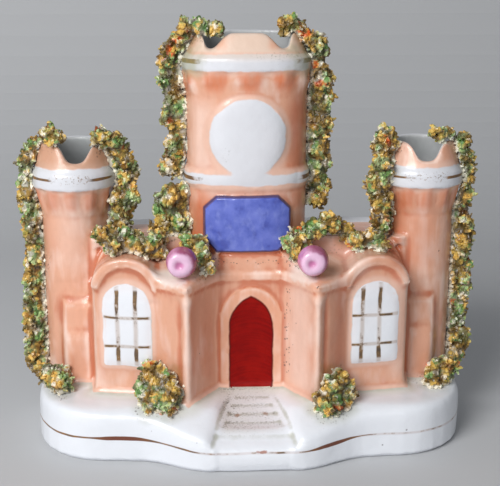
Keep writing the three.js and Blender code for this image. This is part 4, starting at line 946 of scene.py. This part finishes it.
# %% Shape the scraps
def scrap(sides, radius, length, turn, taper, steps):
    """A short curled scrap of clay: one ring, drawn out a step at a time."""
    bm = bmesh.new()
    bmesh.ops.create_circle(bm, cap_ends=True, segments=sides, radius=radius * MM)
    top, rise = bm.faces[:], length / steps * MM
    tilt = Matrix.Rotation(turn, 3, "X") @ Matrix.Rotation(turn * 0.6, 3, "Y")
    for step in range(steps):
        moved = bmesh.ops.extrude_face_region(bm, geom=top)["geom"]
        if step:
            bmesh.ops.delete(bm, geom=top, context="FACES_ONLY")
        ring = [g for g in moved if isinstance(g, bmesh.types.BMVert)]
        top = [g for g in moved if isinstance(g, bmesh.types.BMFace)]
        low = sum(v.co.z for v in ring) / len(ring)
        size = 1 + taper * (0.6 if step == 0 else -1)
        bmesh.ops.translate(bm, verts=ring, vec=(0, 0, rise))
        bmesh.ops.rotate(bm, verts=ring, cent=(0, 0, low), matrix=tilt)
        to_middle = Matrix.Translation(-sum((v.co for v in ring), Vector()) / len(ring))
        bmesh.ops.scale(bm, verts=ring, vec=(size,) * 3, space=to_middle)
    bmesh.ops.recalc_face_normals(bm, faces=bm.faces)
    bmesh.ops.translate(bm, verts=bm.verts, vec=(0, 0, -length / 2 * MM))
    return as_mesh(bm, "scrap")


scraps = [
    scrap(4, 0.52, 2.4, 0.6, 0.26, 3),
    scrap(4, 0.46, 2.7, 0.8, 0.20, 3),
    scrap(5, 0.58, 1.9, 0.4, 0.35, 3),
    scrap(5, 0.66, 1.6, 0.5, 0.35, 2),
]
print("scraps of", [len(s.polygons) for s in scraps], "faces")

# %% [markdown]
# ## The colours of the ivy
# Ochre, two greens and a little orange were dabbed on with a sponge, and the bare clay
# stays white between them. Each colour is a patch of noise a few millimetres wide, and
# cells about as large as a scrap break the patches up.

# %% Build the ivy's finish
OCHRE, BROWN, OLIVE = (222, 180, 92), (158, 112, 48), (160, 148, 74)
GREEN, PALE_GREEN, RUST = (96, 150, 84), (182, 204, 148), (214, 96, 36)
CLAY, CREASE_SHADE = (232, 226, 210), (70, 50, 26)


def ivy_finish(name, level):
    """All the colours, lighter or darker by one level; the darker level, on the core, is painted shade.
    """
    f = Finish(name, 0.34, Coat_Weight=0.25, Coat_Roughness=0.12)
    r, g, b = f.parts("Color", f.texture("Voronoi", f.scaled(f.place, 1 / 1.5), out="Color"))
    green = (f.noise(5.0, 2, shift=2) * 1.6 + (r - 0.5) * 0.2).above(0.04, 0.12)
    bright = (f.noise(3.0, 1, shift=9) + (g - 0.5) * 0.3).above(0.02, 0.16)
    bare = (f.noise(3.6, 2, shift=14) * 1.4 + (b - 0.5) * 0.4).above(0.22, 0.12)
    rust = (f.noise(6.0, 1, shift=23) * 1.5 + (g - 0.5) * 0.15).above(0.31, 0.08)
    brown = (f.noise(3.0, 2, shift=29) * 1.3 + (r - 0.5) * 0.4).above(0.1, 0.2)
    olive = (f.noise(4.2, 2, shift=39) * 1.4).above(0.06, 0.2)
    colour = f.mix(olive * 0.6, f.mix(brown, OCHRE, BROWN), OLIVE)
    colour = f.mix(green * 0.9, colour, f.mix(bright, GREEN, PALE_GREEN))
    joint = (f.attribute("wall_gap") + (b - 0.5) + f.noise(3, 2, shift=44) * 2).below(0.9, 0.5)
    colour = f.mix(rust, f.mix(bare.over(joint) * 0.9, colour, CLAY), RUST)
    # Painted shade: dark brown in the creases between clumps.
    shade_in_creases = (f.attribute("crease") + f.noise(2.0, 2, shift=48) * 0.5).above(0.45, 0.3)
    colour = f.mix(shade_in_creases * (1 - joint) * 0.75, colour, CREASE_SHADE)
    fine = f.noise(0.5, 3, shift=35)
    f.set("Base Color", f.scaled(colour, level * (1 + fine * 0.6)))
    f.set("Roughness", 0.34 + fine * 0.3)
    f.bump(fine, 0.18)
    return f.material


ivy_glaze = ivy_finish("ivy_glaze", 1.12)
# The core's darker copy is painted shade deep in the ivy.
ivy_core = ivy_finish("ivy_core", 0.6)

# %% [markdown]
# ## Set the scraps
# The core joins the node's lumps with a copy of them that reaches down to the wall, so
# that the ivy grows out of the pottery. It sinks in the creases between its clumps, the
# borders of a Voronoi pattern. Scraps are strewn over it by chance, more of them on a
# large triangle than on a small one, from a seed that is the same each time.

# %% Grow the ivy
SUNK = 0.35
PER_SQUARE = 0.9
LEAN, SMALLEST, LARGEST = 1.3, 0.75, 1.25
OFF_WALL = 0.6 * MM
CORE_GRID, CORE_IN = 0.9 * MM, 0.5 * MM
RIPPLE, RIPPLE_SIZE = 0.7, 1.3 * MM
REACH, LONG_REACH, INTO_WALL = 4.5 * MM, 6.5 * MM, 0.8 * MM
CLUMP, CREASE_WIDE, CREASE_IN = 5.5 * MM, 0.3, 1.1 * MM


def crease_at(place):
    """1 in the creases between clumps of scraps, and 0 on the clumps."""
    first, second = noise.voronoi(Vector(place) / CLUMP)[0][:2]
    return max(0.0, 1 - (second - first) / CREASE_WIDE)


def core_of(name):
    """The core of one node, and the corners of its triangles before it is sunk."""
    reach = LONG_REACH if name.startswith("centre") else REACH
    part = merged(name)
    reaching = as_mesh(part.copy(), "reaching")
    places = points(reaching)
    for index, place in enumerate(places):
        spot, _, _, gap = pot_tree.find_nearest(place)
        if gap < reach:
            places[index] = place + (np.array(spot) - place) * (1 + INTO_WALL / max(gap, 1e-6))
    reaching.vertices.foreach_set("co", places.astype(np.float32).ravel())
    part.from_mesh(reaching)
    core = one_skin("core", as_mesh(part, "stuck"), CORE_GRID, 2)
    places, out = points(core), normals(core)
    core.calc_loop_triangles()
    corners = places[np.array([t.vertices[:] for t in core.loop_triangles])]
    ripple = np.array([noise.noise(Vector(p) / RIPPLE_SIZE) for p in places])
    creased = np.array([crease_at(p) for p in places])
    sunk = ripple * RIPPLE * MM - CORE_IN - creased * CREASE_IN
    core.vertices.foreach_set("co", (places + out * sunk[:, None]).astype(np.float32).ravel())
    return core, corners


def strew(bm, corners, chance):
    """Set scraps over the triangles, and count them."""
    cross = np.cross(corners[:, 1] - corners[:, 0], corners[:, 2] - corners[:, 0])
    area = np.linalg.norm(cross, axis=1) / 2
    count = int(area.sum() / MM ** 2 * PER_SQUARE)
    picks = chance.choice(len(area), count, p=area / area.sum())
    weights = chance.dirichlet((1, 1, 1), count)
    spots = (corners[picks] * weights[:, :, None]).sum(1)
    ways = cross[picks] / np.maximum(np.linalg.norm(cross[picks], axis=1), 1e-20)[:, None]
    for spot, way in zip(spots, ways):
        if pot_tree.find_nearest(spot)[3] < OFF_WALL:
            continue
        way = Vector(way)
        outward = way.to_track_quat("Z", "Y").to_matrix().to_4x4()
        tilt = Euler((chance.uniform(-LEAN, LEAN), chance.uniform(-LEAN, LEAN), chance.uniform(0, 6.28)))
        size = chance.uniform(SMALLEST, LARGEST)
        deep = SUNK * MM + crease_at(spot) * CREASE_IN
        place = (Matrix.Translation(Vector(spot) - way * deep) @ outward
                 @ tilt.to_matrix().to_4x4() @ Matrix.Diagonal((size, size, size, 1)))
        shape = scraps[int(chance.integers(len(scraps)))]
        shape.transform(place)
        bm.from_mesh(shape)
        shape.transform(place.inverted())
    return count


def grow(name, seed):
    """One piece of ivy: a lumpy core from the node's own lumps, covered in scraps."""
    core, corners = core_of(name)
    bm = bmesh.new()
    bm.from_mesh(core)
    for face in bm.faces:
        face.material_index = 1
    count = strew(bm, corners, np.random.default_rng(seed))
    result = as_mesh(bm, name + "_ivy")
    result.vertices.foreach_set("co", inside_box(points(result)).astype(np.float32).ravel())
    on_core = np.arange(len(result.polygons)) < len(core.polygons)
    result.polygons.foreach_set("use_smooth", on_core)
    result.materials.append(ivy_glaze)
    result.materials.append(ivy_core)
    places = points(result)
    keep_numbers(result, wall_gap=distance(pot_tree, places),
                 crease=np.array([crease_at(p) for p in places]))
    piece = in_scene(name + "_ivy", result)
    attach(piece, "root")
    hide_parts(name)
    return count


total = sum(grow(name, seed) for seed, name in enumerate(ivy_names))
print("scraps of clay set:", total)

# %% [markdown]
# ## The rosettes
# Two pink flowers like buttons sit on the gatehouse roof: a rounded bead with a raised
# ring and a dimple in the middle. A half outline spun round its own axis makes it.

# %% Turn the rosettes
PINK, PINK_DEEP, PINK_PALE = (218, 146, 188), (196, 112, 160), (238, 200, 226)
MAROON_SHADE = (150, 62, 96)


def pink_finish(name):
    """Pale on the ring, deep in the dimple, and painted shade in maroon at the right."""
    f = Finish(name, 0.24, Coat_Weight=0.35, Coat_Roughness=0.1)
    cloud = f.noise(2.6, 3, shift=7)
    ring, flank = f.attribute("ring") + cloud * 0.3, f.attribute("flank")
    colour = f.mix((cloud + 0.5).above(0.5, 0.25), PINK, PINK_DEEP)
    colour = f.mix((0.27 - abs(ring - 0.5)).above(0, 0.14) * 0.85, colour, PINK_PALE)
    colour = f.mix(ring.below(0.14, 0.12) * 0.6, colour, PINK_DEEP)
    colour = f.mix(ring.above(0.74, 0.1) * flank.above(0.25, 0.4) * 0.85, colour, MAROON_SHADE)
    f.set("Base Color", f.scaled(colour, 1 + f.noise(0.8, 2, shift=13) * 0.15))
    f.bump(cloud, 0.1)
    return f.material


pink_enamel = pink_finish("pink_enamel")
PROFILE = [(0.0, -0.42), (0.08, -0.43), (0.16, -0.46), (0.30, -0.52), (0.46, -0.54), (0.62, -0.51),
           (0.76, -0.40), (0.85, -0.24), (0.91, -0.02), (0.95, 0.2), (0.96, 0.35), (0.85, 0.48),
           (0.5, 0.5), (0.0, 0.5)]


def drawn_line(places):
    """A bmesh with one open line through the places."""
    bm = bmesh.new()
    line = [bm.verts.new(place) for place in places]
    for a, b in zip(line, line[1:]):
        bm.edges.new((a, b))
    return bm


def rosette(name):
    """Spin the outline round, and push its front a little sideways."""
    low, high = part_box(name)
    middle, half = (low + high) / 2, (high - low) / 2
    bm = drawn_line([(r * half.x, y * 2 * half.y, 0) for r, y in PROFILE])
    bmesh.ops.spin(bm, geom=bm.edges[:], cent=(0, 0, 0), axis=(0, 1, 0), angle=math.tau, steps=40,
                   use_merge=True)
    bmesh.ops.remove_doubles(bm, verts=bm.verts, dist=JOIN_WITHIN)
    bmesh.ops.recalc_face_normals(bm, faces=bm.faces)
    ring = np.array([math.hypot(v.co.x / half.x, v.co.z / half.z) for v in bm.verts])
    # Towards the right and the top, where the maroon painted shade goes.
    flank = np.array([v.co.x / half.x + 0.5 * v.co.z / half.z for v in bm.verts])
    for vert in bm.verts:
        vert.co.x -= max(0, -vert.co.y / half.y) * 0.9 * MM * max(0, 1 - abs(vert.co.x) / half.x)
    bmesh.ops.translate(bm, verts=bm.verts, vec=middle)
    mesh = as_mesh(bm, name + "_bead")
    mesh.polygons.foreach_set("use_smooth", np.ones(len(mesh.polygons), bool))
    keep_numbers(mesh, ring=ring, flank=flank)
    mesh.materials.append(pink_enamel)
    piece = in_scene(name + "_bead", mesh)
    smooth = piece.modifiers.new("round", "SUBSURF")
    smooth.levels = smooth.render_levels = 1
    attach(piece, "root")
    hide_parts(name)
    return len(mesh.polygons)


print("rosettes of", [rosette(name) for name in rosette_names], "faces")

# %% [markdown]
# ## Floor and light
# A pale floor that curves up into a wall, one large soft lamp at the upper left like a
# window, a weak one in front, and a pale world. The lamps are kept low enough for
# white glaze to stay below full white.

# %% Light the castle
# The floor's outline from front to back, y and z in metres, and half its width.
FLOOR_LINE = [(-1.5, 0), (-0.5, 0), (0.15, 0), (0.2, 0), (0.25, 0), (0.36, 0.03), (0.44, 0.12),
              (0.46, 0.3), (0.46, 1.4)]
FLOOR_HALF = 1.2

floor_bm = drawn_line([(-FLOOR_HALF, y, z) for y, z in FLOOR_LINE])
drawn = bmesh.ops.extrude_edge_only(floor_bm, edges=floor_bm.edges[:])["geom"]
far_side = [g for g in drawn if isinstance(g, bmesh.types.BMVert)]
bmesh.ops.translate(floor_bm, verts=far_side, vec=(2 * FLOOR_HALF, 0, 0))
bmesh.ops.recalc_face_normals(floor_bm, faces=floor_bm.faces)
floor = in_scene("floor", as_mesh(floor_bm, "floor"))
curve = floor.modifiers.new("curve", "SUBSURF")
curve.levels = curve.render_levels = 3
floor_finish = Finish("floor_paper", 0.7)
floor_finish.set("Base Color", paint(196, 197, 199))
floor.data.materials.append(floor_finish.material)


def lamp(name, place, size, power):
    """A round lamp that looks at the castle."""
    data = bpy.data.lights.new(name, "AREA")
    data.shape, data.size, data.energy = "DISK", size, power
    made = in_scene(name, data)
    made.location = place
    made.rotation_euler = (LOOK_AT - Vector(place)).to_track_quat("-Z", "Y").to_euler()


lamp("window", (-0.43, -0.59, 0.53), 0.5, 7.3)
lamp("fill", (0.0, -0.85, 0.35), 0.6, 0.9)
world = bpy.data.worlds.new("room")
world.use_nodes = True
background = world.node_tree.nodes["Background"].inputs
background["Color"].default_value = (0.9, 0.95, 1.0, 1)
background["Strength"].default_value = 0.16
bpy.context.scene.world = world
bpy.context.scene.view_settings.view_transform = "Standard"
